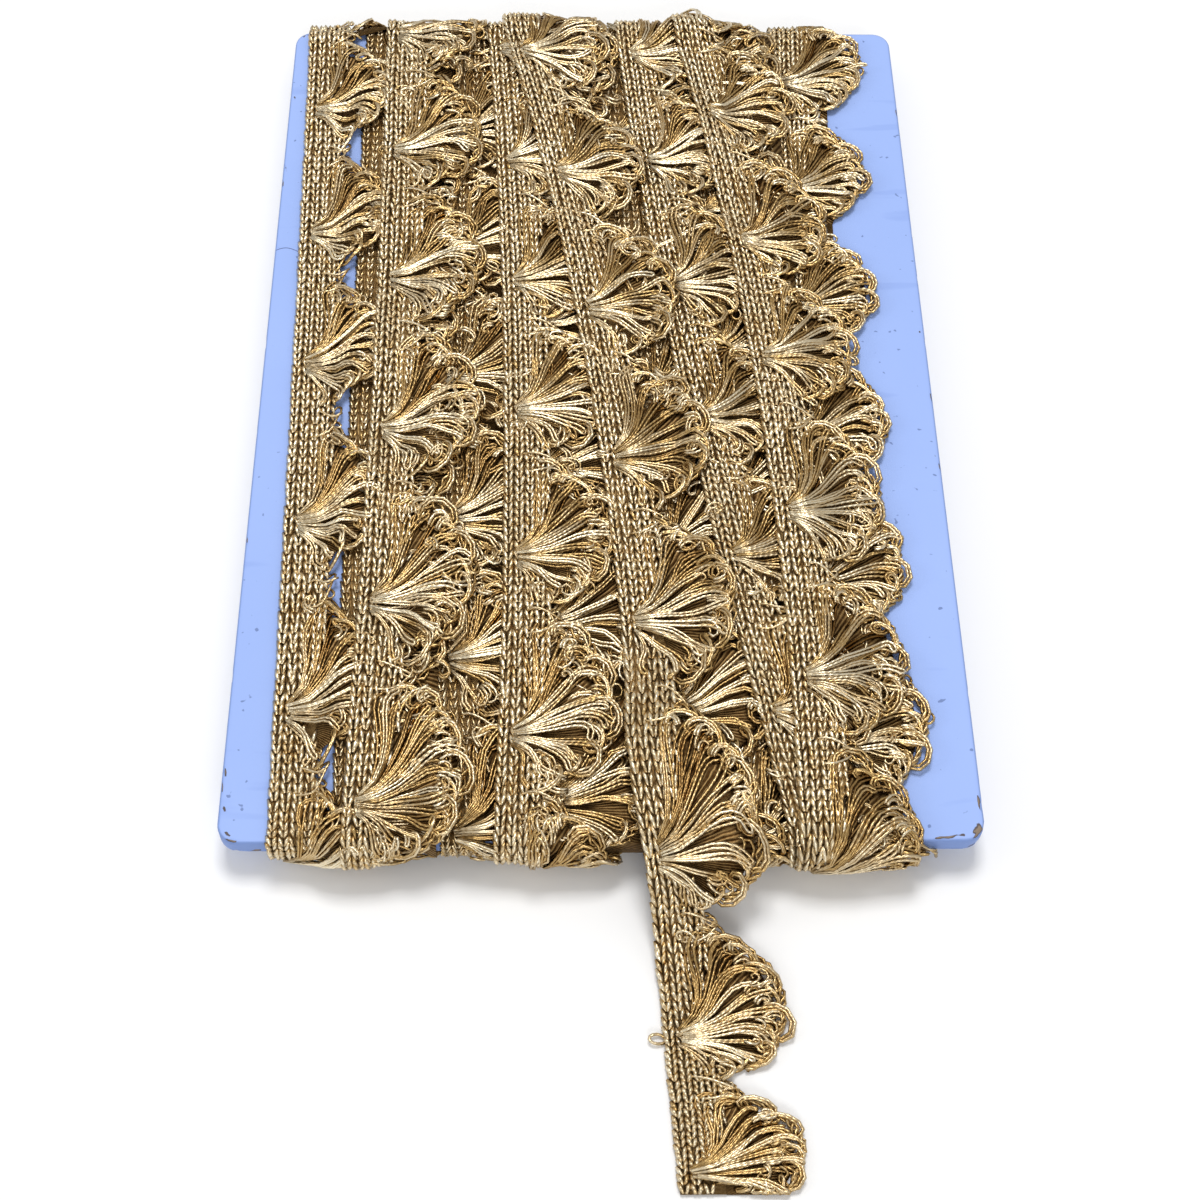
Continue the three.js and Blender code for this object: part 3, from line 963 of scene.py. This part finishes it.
def shell_strands(shells, rng, steps, strands):
    """Each hairpin goes out along its curve on one side, turns in a half circle and comes back on
    the other. It reaches from the knot to a circle round the shell's middle."""
    size = (len(shells), strands)
    each = size + (1,)
    spacing = (STRAND_TO - STRAND_FROM) / (strands - 1)
    even = 1 - (1 - np.linspace(0, 1, strands)) ** CROWDED_UP
    gather = np.sin(2 * np.pi * BUNCHES * even + rng.uniform(0, 6, (len(shells), 1)))
    even = even + BUNCHING / (2 * np.pi * BUNCHES) * gather
    round_middle = STRAND_FROM + (STRAND_TO - STRAND_FROM) * even + rng.normal(0, 0.6 * spacing, size)
    knot = np.array([KNOT_ACROSS, 0])
    end = round_shell(rng.normal(STRAND_END_RADIUS, STRAND_END_SPREAD, size), round_middle)
    end[..., 0] = np.maximum(end[..., 0], KNOT_ACROSS + 0.3)
    reach = np.linalg.norm(end - knot, axis=-1)
    angle = np.arctan2(end[..., 1], end[..., 0] - KNOT_ACROSS)
    start = knot + np.stack([rng.normal(0, KNOT_SPREAD, size), KNOT_GATHER * np.sin(angle)], -1)
    leave = unit(angle * LEAVES_AT_SHARE + rng.normal(0, 0.05, size)) * reach[..., None]
    arrive = unit(angle * ARRIVES_AT_SHARE - rng.normal(HOOK, HOOK_SPREAD, size)) * reach[..., None]
    share = 1 - (1 - np.linspace(0, 1, steps)) ** FINER_OUTWARDS
    line = bezier(start, start + leave * LEAVES_FOR, end - arrive * ARRIVES_FOR, end, share)
    ahead = np.gradient(line, axis=-2)
    ahead /= np.linalg.norm(ahead, axis=-1, keepdims=True)
    beside = np.stack([-ahead[..., 1], ahead[..., 0]], -1)
    spread = STRAND_SPREAD * rng.normal(1, 0.22, each + (1,)) * (0.25 + 0.75 * share**0.7)[:, None]
    waver = STRAND_WAVER * slow_wave(rng, share, 4, 10, each)
    line = line + beside * (waver * share)[..., None]
    turn = np.radians([35, 90, 145]) if steps > 5 else np.radians([90])
    aside = spread[..., -1:, :] * beside[..., -1:, :] * np.cos(turn)[:, None]
    onward = spread[..., -1:, :] * ahead[..., -1:, :] * LOOP_LENGTH * np.sin(turn)[:, None]
    loop = line[..., -1:, :] + aside + onward
    flat = np.concatenate([line + beside * spread, loop, (line - beside * spread)[..., ::-1, :]], -2)
    out = np.concatenate([share, np.ones(len(turn)), share[::-1]])
    deep = np.clip((angle - DEEP_FROM) / 0.3, 0, 1)[..., None]
    lift = STRAND_LIFT - STRAND_DROP * out - DEEP_BY * deep * (1 - 0.6 * out)
    lift = lift + rng.normal(0, LIFT_SPREAD, each) + LIFT_WAVER * slow_wave(rng, out, 4, 11, each)
    radius = YARN_RADIUS * (0.7 + 0.48 * out**0.6)
    # The last value is painted shade for the deep strands, a lower tone
    return raised(flat, np.maximum(lift, LOWEST_LIFT)), radius, -DEEP_STRANDS_SHADE * deep[..., 0]


# Rim. Along the edge of each shell run two or three thin cords that swing across one another.
# Inside them a doubled strand coils over the ends of the fan, every coil lying over the one before
# it, among pairs of yarn ends that hook over. Two round picots stand out beyond the cords.
RIM_FROM = math.radians(-76)
RIM_TO = math.radians(75)
CORDS_FROM = math.radians(-58)
EDGE_RADIUS = 12.8
EDGE_WAVES = 7
EDGE_BUMPS = 0.4
CORD_SWING = 0.38
CORD_HEIGHT = 0.65
CORD_LIFT = 0.28
RIM_COIL_RADIUS = 12.0
RIM_COIL_LOOPS = 9
COIL_SWING = 1.1
COIL_SWEEP = 1.25
COIL_LEAN = 0.3
COIL_LIFT = 0.75
COIL_DOUBLING = 0.38
CURL_LENGTH = (3.8, 6.6)
CURL_BEND = (3.4, 5.2)
CURLS_BACK = 0.25
CURLS_FROM = (8.0, 10.6)
GAP_CURLS_ALONG = (11.0, 25.0)
# Painted shade: the rim's threads get this much lower a tone
RIM_SHADE = 0.06
PICOTS = 2
PICOT_RADIUS = 0.8
PICOT_MIDDLE = 13.35


def rim_edge(shells, rng, cords, points):
    """Lines along an arc round the shell's middle, all on one row of low bumps. Each swings across
    it and up and down by a sine, a part of a wave after the one before."""
    share = np.linspace(0, 1, points)
    cord = np.arange(cords)[:, None]
    size = (len(shells), 1, 1)
    wave = 2 * np.pi * (EDGE_WAVES * share + cord / cords) + rng.uniform(0, 6, size)
    slow = slow_wave(rng, share, 9, 16, size)
    bumps = EDGE_BUMPS * np.abs(np.sin(np.pi * EDGE_WAVES * share)) + 0.3 * slow
    distance = EDGE_RADIUS + bumps + (CORD_SWING + 0.12 * slow) * np.sin(wave)
    angle = CORDS_FROM + (RIM_TO - CORDS_FROM) * share + rng.normal(0, 0.02, size)
    return raised(round_shell(distance, angle), CORD_HEIGHT + CORD_LIFT * np.cos(wave))


def rim_coil(shells, rng, points_a_loop):
    """Two lines side by side along an arc round the shell's middle. While the angle swings to and
    fro by a sine, the distance swings by a leaning cosine, so each wave closes into a loop. Both
    swings vary slowly, and are wider for the second line."""
    share = np.linspace(0, 1, RIM_COIL_LOOPS * points_a_loop)
    size = (len(shells), 1, 1)
    slow = slow_wave(rng, share, 9, 16, size)
    uneven = slow_wave(rng, share, 25, 40, size)
    wave = 2 * np.pi * RIM_COIL_LOOPS * share + rng.uniform(0, 6, size) + 0.9 * slow
    wider = COIL_DOUBLING * np.array([0, 1])[:, None] * (1 + 0.4 * uneven)
    angle = RIM_FROM + (RIM_TO - RIM_FROM) * share
    angle = angle + (COIL_SWEEP * (1 + 0.3 * uneven) + wider) / RIM_COIL_RADIUS * np.sin(wave)
    swing = COIL_SWING * (1 + 0.3 * slow + 0.25 * uneven) + wider
    distance = RIM_COIL_RADIUS + swing * np.cos(wave + COIL_LEAN) + 0.5 * uneven
    height = COIL_LIFT + 0.4 * np.sin(wave + 0.9) + 0.12 * uneven + 0.2 * wider
    return raised(round_shell(distance, angle), np.maximum(height, 0.26))


def curled(start, way, rng, points):
    """Pairs of lines that start along the way given and curl up: the direction turns by the bend
    times the share to the power 2.2, mostly clockwise. The second line runs beside the first on
    the inside of its bend and is shorter."""
    size = way.shape
    share = np.linspace(0, 1, points)
    bend = -rng.uniform(*CURL_BEND, size) * np.where(rng.random(size) < CURLS_BACK, -1, 1)
    beside = way + np.sign(bend) * np.pi / 2
    lines = []
    for apart, shorter in ((0, 1.0), (2 * YARN_RADIUS, 0.8)):
        step = rng.uniform(*CURL_LENGTH, size) * shorter / (points - 1)
        steps = step[..., None, None] * unit(way[..., None] + bend[..., None] * share**2.2)
        flat = (start + apart * unit(beside))[..., None, :] + np.cumsum(steps, -2)
        height = 1.15 - 0.4 * share + rng.uniform(-0.2, 0.25, size)[..., None] + 0.1 * np.sin(7 * share)
        lines.append(raised(flat, height))
    return np.concatenate(lines, 1)


def rim_curls(shells, rng, curls, points):
    """Pairs that leave the fan outwards and hook over inside the rim."""
    angle = rng.uniform(RIM_FROM, RIM_TO, (len(shells), curls))
    start = round_shell(rng.uniform(*CURLS_FROM, angle.shape), angle)
    lines = curled(start, angle + rng.normal(0.3, 0.5, angle.shape), rng, points)
    from_middle = lines[..., :2] - SHELL_MIDDLE
    away = np.linalg.norm(from_middle, axis=-1, keepdims=True)
    lines[..., :2] -= from_middle * np.maximum(1 - EDGE_RADIUS / away, 0)
    return lines


def gap_curls(shells, rng, curls, reach, points):
    """Pairs at random in the gap between a shell and the next, where other turns lie under it."""
    size = (len(shells), curls)
    start = np.stack([rng.uniform(7.0, reach, size), rng.uniform(*GAP_CURLS_ALONG, size)], -1)
    return curled(start, rng.uniform(0, 2 * np.pi, size), rng, points)


def rim_picots(shells, rng, points):
    """Nearly round closed loops whose middles lie at the rim's outer edge."""
    size = (len(shells), PICOTS)
    angle = rng.uniform(RIM_FROM + 0.3, RIM_TO - 0.1, size)
    middle = round_shell(rng.normal(PICOT_MIDDLE, 0.2, size), angle)
    turn = full_turn(points)
    grow = PICOT_RADIUS * rng.normal(1, 0.15, size + (1, 1))
    flat = middle[..., None, :] + grow * unit(turn) * np.array([1.0, 1.15])
    return raised(flat, 0.6 + 0.3 * np.cos(turn + rng.uniform(0, 6, size + (1,))))


# Links. Between two shells a few open loops of chain hang on the heading's right edge, and two
# thin strands cross the heading there and hold the next shell.
LINK_LOOPS = [
    {"across": 7.7, "v": -9.4, "half_length": 1.15, "half_width": 0.6, "slant": -0.9},
    {"across": 8.7, "v": 16.9, "half_length": 1.3, "half_width": 0.75, "slant": -0.5},
    {"across": 7.4, "v": 18.2, "half_length": 1.2, "half_width": 0.6, "slant": 0.5},
]
CROSSING_STRANDS = [
    ((3.9, -8.4), (5.5, -7.9), (8.9, -10.6)),
    ((3.4, -12.4), (6.2, -12.9), (8.2, -10.2)),
]


def link_loops(shells, rng, points):
    """Closed ovals at the listed places, each a little different at every shell."""
    turn = full_turn(points)
    lines = []
    for loop in LINK_LOOPS:
        grow = rng.normal(1, 0.1, (len(shells), 1))
        lean = loop["slant"] + rng.normal(0, 0.2, (len(shells), 1))
        far = loop["half_length"] * grow * np.cos(turn)
        wide = loop["half_width"] * grow * np.sin(turn)
        x = loop["across"] + far * np.cos(lean) - wide * np.sin(lean)
        y = loop["v"] + far * np.sin(lean) + wide * np.cos(lean)
        lines.append(np.stack([x, y, 0.6 + 0.3 * np.cos(turn + 1) + 0 * x], -1))
    return np.stack(lines, 1)


def crossing_strands(shells, rng, points):
    """Curves over the heading through three places each, a little different at every shell."""
    share = np.linspace(0, 1, points)[:, None]
    height = 0.75 + 0.45 * np.sin(np.pi * share[:, 0])
    lines = []
    for places in np.array(CROSSING_STRANDS):
        moved = places[:, None] + rng.normal(0, 0.35, (len(shells), 3, 1, 2))
        start, middle, end = np.moveaxis(moved, 1, 0)
        flat = start * (1 - share) ** 2 + 2 * middle * share * (1 - share) + end * share**2
        lines.append(raised(flat, np.broadcast_to(height, flat.shape[:-1])))
    return np.stack(lines, 1)


# rings and steps are the points along a stitch's leg and along one side of a strand. edge is the
# points of a rim cord. A turn is worked as finely as it shows, and coarsest where it is hidden.
FINE = {"rings": 3, "courses": 19, "steps": 9, "strands": 28, "cords": 3, "edge": 36,
        "coil_points": 10, "curls": 16, "curl_points": 8, "gap_curls": 0, "gap_reach": 11}
DETAILS = {
    "full": FINE,
    "inner": {**FINE, "strands": 27, "cords": 2, "gap_curls": 4, "gap_reach": 14},
    "open": {**FINE, "steps": 8, "strands": 24, "cords": 2, "curls": 8, "curl_points": 9},
    "part": {**FINE, "rings": 2, "steps": 6, "strands": 22, "cords": 2, "edge": 32, "curls": 5,
             "gap_curls": 8, "gap_reach": 14},
    "hidden": {**FINE, "rings": 2, "courses": 10, "steps": 4, "strands": 9, "cords": 2, "edge": 14,
               "curls": 0},
    "right": {**FINE, "gap_curls": 4},
}


def shell_threads(shells, rng, show):
    """All the threads of some shells, finer where they show than where other turns cover them."""
    if len(shells) == 0:
        return []
    detail = DETAILS[show]
    legs, leg_radius = heading_legs(shells, rng, detail["rings"], detail["courses"])
    strands, radius, deep_shade = shell_strands(shells, rng, detail["steps"], detail["strands"])
    edge = rim_edge(shells, rng, detail["cords"], detail["edge"])
    # painted_light paints a highlight on the stitches' legs and the curls, and shade on the deep strands
    # and the rim
    batches = [
        worked(legs, leg_radius, shells, rng, top=0.95, painted_light=0.08),
        worked(strands, radius, shells, rng, top=1.7, painted_light=deep_shade.ravel()),
        worked(edge, YARN_RADIUS * 1.1, shells, rng, top=1.6, painted_light=-RIM_SHADE),
    ]
    if detail["curls"]:
        coil = rim_coil(shells, rng, detail["coil_points"])
        batches.append(worked(coil, YARN_RADIUS * 1.2, shells, rng, top=1.7, painted_light=-RIM_SHADE))
        curls = rim_curls(shells, rng, detail["curls"], detail["curl_points"])
        batches.append(worked(curls, YARN_RADIUS * 1.1, shells, rng, top=1.6, painted_light=0.04))
        crossing = crossing_strands(shells, rng, 8)
        batches.append(worked(crossing, YARN_RADIUS, shells, rng))
        for loops in (link_loops(shells, rng, 9), rim_picots(shells, rng, 10)):
            batches.append(worked(loops, YARN_RADIUS, shells, rng, closed=True))
    if detail["gap_curls"]:
        curls = gap_curls(shells, rng, detail["gap_curls"], detail["gap_reach"], detail["curl_points"])
        batches.append(worked(curls, YARN_RADIUS * 1.1, shells, rng))
    return batches


# Gold yarn. A flat metallic film wrapped and twisted round a core, so it is shiny along its whole
# length. Its colour carries a painted highlight, pale on the high places, and painted shade, brown
# deep in the work.
TWIST_PITCH = 1.7
# The yarn's slow unevenness against the depth of its twist
UNEVENNESS = 4.5
MOTTLES = 900
# How much the depth in the work, which paints highlight and shade, the thread's own tone with its
# painted light, and the mottling each add to the colour
LEVEL_OF = {"depth": 0.6, "tone_and_light": 0.42, "mottle": 0.26}


def yarn_group():
    """Node group: height of the yarn's twist and a mottling value, from its own Thread map."""
    group = bpy.data.node_groups.new("yarn_twist", "ShaderNodeTree")
    group.interface.new_socket("Twists a Millimetre", in_out="INPUT", socket_type="NodeSocketFloat")
    group.interface.new_socket("Height", in_out="OUTPUT", socket_type="NodeSocketFloat")
    group.interface.new_socket("Mottle", in_out="OUTPUT", socket_type="NodeSocketFloat")
    inside = group.nodes.new("NodeGroupInput")
    outside = group.nodes.new("NodeGroupOutput")
    thread = group.nodes.new("ShaderNodeUVMap")
    thread.uv_map = "Thread"
    place = split_up(group, thread.outputs["UV"])
    twists = math_node(group, "MULTIPLY", place["X"], inside.outputs["Twists a Millimetre"])
    turns = math_node(group, "ADD", twists, place["Y"])
    wave = math_node(group, "SINE", math_node(group, "MULTIPLY", turns, 4 * math.pi))
    group.links.new(wave, outside.inputs["Height"])
    group.links.new(object_noise(group, MOTTLES, 2), outside.inputs["Mottle"])
    return group


yarn_twist = yarn_group()
# The yarn's colour ramp: dark painted shade, the middle, pale painted highlight
GOLD_DARK_SHADED = (0.15, 0.062, 0.009, 1)
GOLD_MIDDLE = (0.545, 0.37, 0.152, 1)
GOLD_PALE_LIT = (0.91, 0.8, 0.585, 1)


def gold_yarn():
    """Colour by depth in the work, as painted highlight high up and painted shade deep down, each
    thread's own tone with painted light added, and a fine mottling. The twist is a bump.
    """
    material, tree, shader = new_material("gold_yarn")
    twist = tree.nodes.new("ShaderNodeGroup")
    twist.node_tree = yarn_twist
    twist.inputs["Twists a Millimetre"].default_value = 1 / TWIST_PITCH
    mottle = twist.outputs["Mottle"]
    level = math_node(tree, "MULTIPLY", mottle, LEVEL_OF["mottle"])
    for name in ("depth", "tone_and_light"):
        added = math_node(tree, "MULTIPLY", marked(tree, name), LEVEL_OF[name])
        level = math_node(tree, "ADD", level, added)
    colour = colour_steps(tree, [(0.25, GOLD_DARK_SHADED), (0.62, GOLD_MIDDLE), (1.0, GOLD_PALE_LIT)], level)
    tree.links.new(colour, shader.inputs["Base Color"])
    shader.inputs["Metallic"].default_value = 0.97
    rough = math_node(tree, "ADD", math_node(tree, "MULTIPLY", mottle, 0.22), 0.22)
    tree.links.new(rough, shader.inputs["Roughness"])
    uneven = math_node(tree, "MULTIPLY", mottle, UNEVENNESS)
    add_bump(tree, math_node(tree, "ADD", twist.outputs["Height"], uneven), 0.45, 0.00003)
    return material


gold_thread = gold_yarn()

# Ground. Under the stitches and inside the shells the yarn is worked so closely that it makes a
# thin web, with ribs that fan out from each knot. Its colour is the yarn darkened with painted
# shade, as it lies deep in the work, darkest between the ribs and less shaded, paler, under the
# heading. It is one ribbon for the wound length and one for the loose end, its scalloped edge a
# little inside the threads.
WEB_THICKNESS = 0.12
WEB_RADIUS = 12.2
WEB_STEP = 3.0
WEB_OUTER_COLUMNS = 4
WEB_UNDER_HEADING = [(0.25, 0.5), (3.2, 0.55), (6.1, 0.5)]
WEB_IN_SHELLS = 0.2
RIBS_A_RADIAN = 20.0
RIB_WAVER = 2.6
# Painted shade: the web's colours are the yarn darkened as in the shade deep in the work
SHADED_RIB_DEEP = (0.055, 0.022, 0.004, 1)
SHADED_RIB_TOP = (0.29, 0.18, 0.07, 1)
SHADED_STITCH_DEEP = (0.2, 0.115, 0.04, 1)
SHADED_STITCH_TOP = (0.42, 0.28, 0.12, 1)
RIB_NOISE = 350
FINE_THREADS = 1500


def web_edge(v):
    """Right edge of the web: the heading, or a circle round the shell's middle where that is wider."""
    inside = np.maximum(WEB_RADIUS**2 - (v - SHELL_MIDDLE[1]) ** 2, 0)
    return np.maximum(HEADING_WIDTH - 0.35, SHELL_MIDDLE[0] + np.sqrt(inside))


def web_ribbon(name, start, end):
    """A band from the left edge to the web's right edge, its underside a web's thickness lower,
    carried along the lace as closed rings of points with a cap at both ends."""
    steps = np.linspace(start, end, int((end - start) / WEB_STEP) + 1)
    turn = turn_at(steps)
    reach = reach_of_turn[turn]
    v = place_in_pattern(steps)
    edge = web_edge(SHELL_MIDDLE[1] + (v - SHELL_MIDDLE[1]) / reach)
    edge = np.maximum(edge, np.where(steps < LEAVES_AT, of_turns("filled")[turn], 0))
    edge = widened(edge, reach)
    share = np.linspace(0, 1, WEB_OUTER_COLUMNS)
    heading = np.array(WEB_UNDER_HEADING)
    places = [np.full(len(steps), place) for place in heading[:, 0]]
    places += list(HEADING_WIDTH - 0.4 + (edge - HEADING_WIDTH + 0.4) * share[:, None])
    heights = np.append(heading[:, 1], np.full(WEB_OUTER_COLUMNS, WEB_IN_SHELLS))
    upper = np.stack(np.broadcast_arrays(np.stack(places, 1), steps[:, None], heights), -1)
    lower = upper[:, ::-1] - np.array([0, 0, WEB_THICKNESS])
    ring = np.concatenate([upper, lower], 1)
    half = len(heights)
    columns = 2 * half
    faces = face_grid(len(steps), columns)
    left = np.arange(half - 1)
    cap = np.stack([left, left + 1, columns - 2 - left, columns - 1 - left], -1)
    faces = np.concatenate([faces, cap[:, ::-1], cap + (len(steps) - 1) * columns])[:, ::-1]
    ribbon = surface(name, lay(ring), faces)
    # Under the heading the web gets less painted shade
    mark(ribbon, "pale", np.broadcast_to(ring[..., 0] < HEADING_WIDTH - 0.45, ring.shape[:2]))
    beside_knot = np.stack(np.broadcast_arrays(ring[..., 0] - KNOT_ACROSS, v[:, None], 0.0), -1)
    mark(ribbon, "from_knot", beside_knot, "FLOAT_VECTOR")
    area = float(np.trapz(edge, steps)) * MM * MM
    return ribbon, area


def fan_ribs(tree):
    """Sine of the angle round the knot times the ribs a radian, wavered by noise, from 0 to 1."""
    place = split_up(tree, marked(tree, "from_knot", "Vector"))
    angle = math_node(tree, "ARCTAN2", place["Y"], place["X"])
    turns = math_node(tree, "MULTIPLY", angle, RIBS_A_RADIAN * 2 * math.pi)
    waver = math_node(tree, "MULTIPLY", object_noise(tree, RIB_NOISE, 2), RIB_WAVER * 2)
    wave = math_node(tree, "SINE", math_node(tree, "ADD", turns, waver))
    return math_node(tree, "ADD", math_node(tree, "MULTIPLY", wave, 0.5), 0.5)


def shaded_web_yarn():
    """The same yarn seen deep in the work, darkened with painted shade: close ribs that fan out,
    with painted shade between them, and fine crossing threads under the heading, less shaded."""
    material, tree, shader = new_material("shaded_web_yarn")
    fine = object_noise(tree, FINE_THREADS, 3)
    ribs = math_node(tree, "MULTIPLY", math_node(tree, "ADD", fan_ribs(tree), fine), 0.6)
    in_shells = colour_steps(tree, [(0.3, SHADED_RIB_DEEP), (0.85, SHADED_RIB_TOP)], ribs)
    in_heading = colour_steps(tree, [(0.35, SHADED_STITCH_DEEP), (0.75, SHADED_STITCH_TOP)], fine)
    colour = mixed(tree, marked(tree, "pale"), in_shells, in_heading)
    tree.links.new(colour, shader.inputs["Base Color"])
    shader.inputs["Metallic"].default_value = 0.95
    shader.inputs["Roughness"].default_value = 0.5
    add_bump(tree, ribs, 0.8, 0.0002)
    return material


shaded_web_material = shaded_web_yarn()
wound_web, wound_area = web_ribbon("wound_lace_ground", LACE_START, LEAVES_AT)
loose_web, loose_area = web_ribbon("loose_lace_ground", LEAVES_AT, LACE_CUT)

# Wound lace and loose end. The threads of each turn are one piece, from the far edge over the
# front, round the near edge and up the back, and those of the loose end are another.
LEFT_PICOT = {"across": -0.75, "v": 0.1, "half_width": 1.1, "half_length": 0.85, "points": 12}
TURN_SEED = 100
LOOSE_SEED = 200
PICOT_SEED = 201
# Shells from here on belong to the loose end, and those between these places on a turn to its front
LOOSE_FROM = LEAVES_AT + 8.0
FRONT_FROM = -BEND_LENGTH - 2.0
FRONT_TO = FRONT_LENGTH + BEND_LENGTH * 1.2


def left_picot(rng):
    """One small closed loop that sticks out left of the heading beside the second loose knot."""
    turn = full_turn(LEFT_PICOT["points"])
    x = LEFT_PICOT["across"] - LEFT_PICOT["half_width"] * np.cos(turn)
    y = LEFT_PICOT["v"] + LEFT_PICOT["half_length"] * np.sin(turn)
    loop = np.stack([x, y, 0.6 + 0.25 * np.cos(turn)], -1)
    shell = numbers[is_loose][1:2]
    return worked(loop[None, None], YARN_RADIUS * 1.1, shell, rng, closed=True)


turn_of_knot = turn_at(knots + BEND_LENGTH)
place_in_turn = knots - turn_of_knot * TURN_LENGTH
is_loose = knots > LOOSE_FROM
on_front = (place_in_turn > FRONT_FROM) & (place_in_turn < FRONT_TO)
show_of_knot = np.where(on_front, of_turns("show")[turn_of_knot], "hidden")
in_reach = (knots > LACE_START - USUAL_PITCH) & (knots < LACE_CUT + 1)
turn_pieces = []
for turn in range(len(TURNS)):
    rng = np.random.default_rng(TURN_SEED + turn)
    of_turn = (turn_of_knot == turn) & ~is_loose & in_reach
    threads = []
    for show in DETAILS:
        threads += shell_threads(numbers[of_turn & (show_of_knot == show)], rng, show)
    turn_pieces.append(thread_piece(f"lace_turn_{turn + 1:02d}", threads))
loose_shells = numbers[is_loose & in_reach]
loose_threads = shell_threads(loose_shells, np.random.default_rng(LOOSE_SEED), "full")
loose_threads.append(left_picot(np.random.default_rng(PICOT_SEED)))
loose_piece = thread_piece("loose_lace", loose_threads)

for piece in turn_pieces + [loose_piece, wound_web, loose_web]:
    is_web = piece in (wound_web, loose_web)
    piece.data.materials.append(shaded_web_material if is_web else gold_thread)
    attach(piece, "root")
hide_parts("wound_lace")
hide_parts("loose_end")
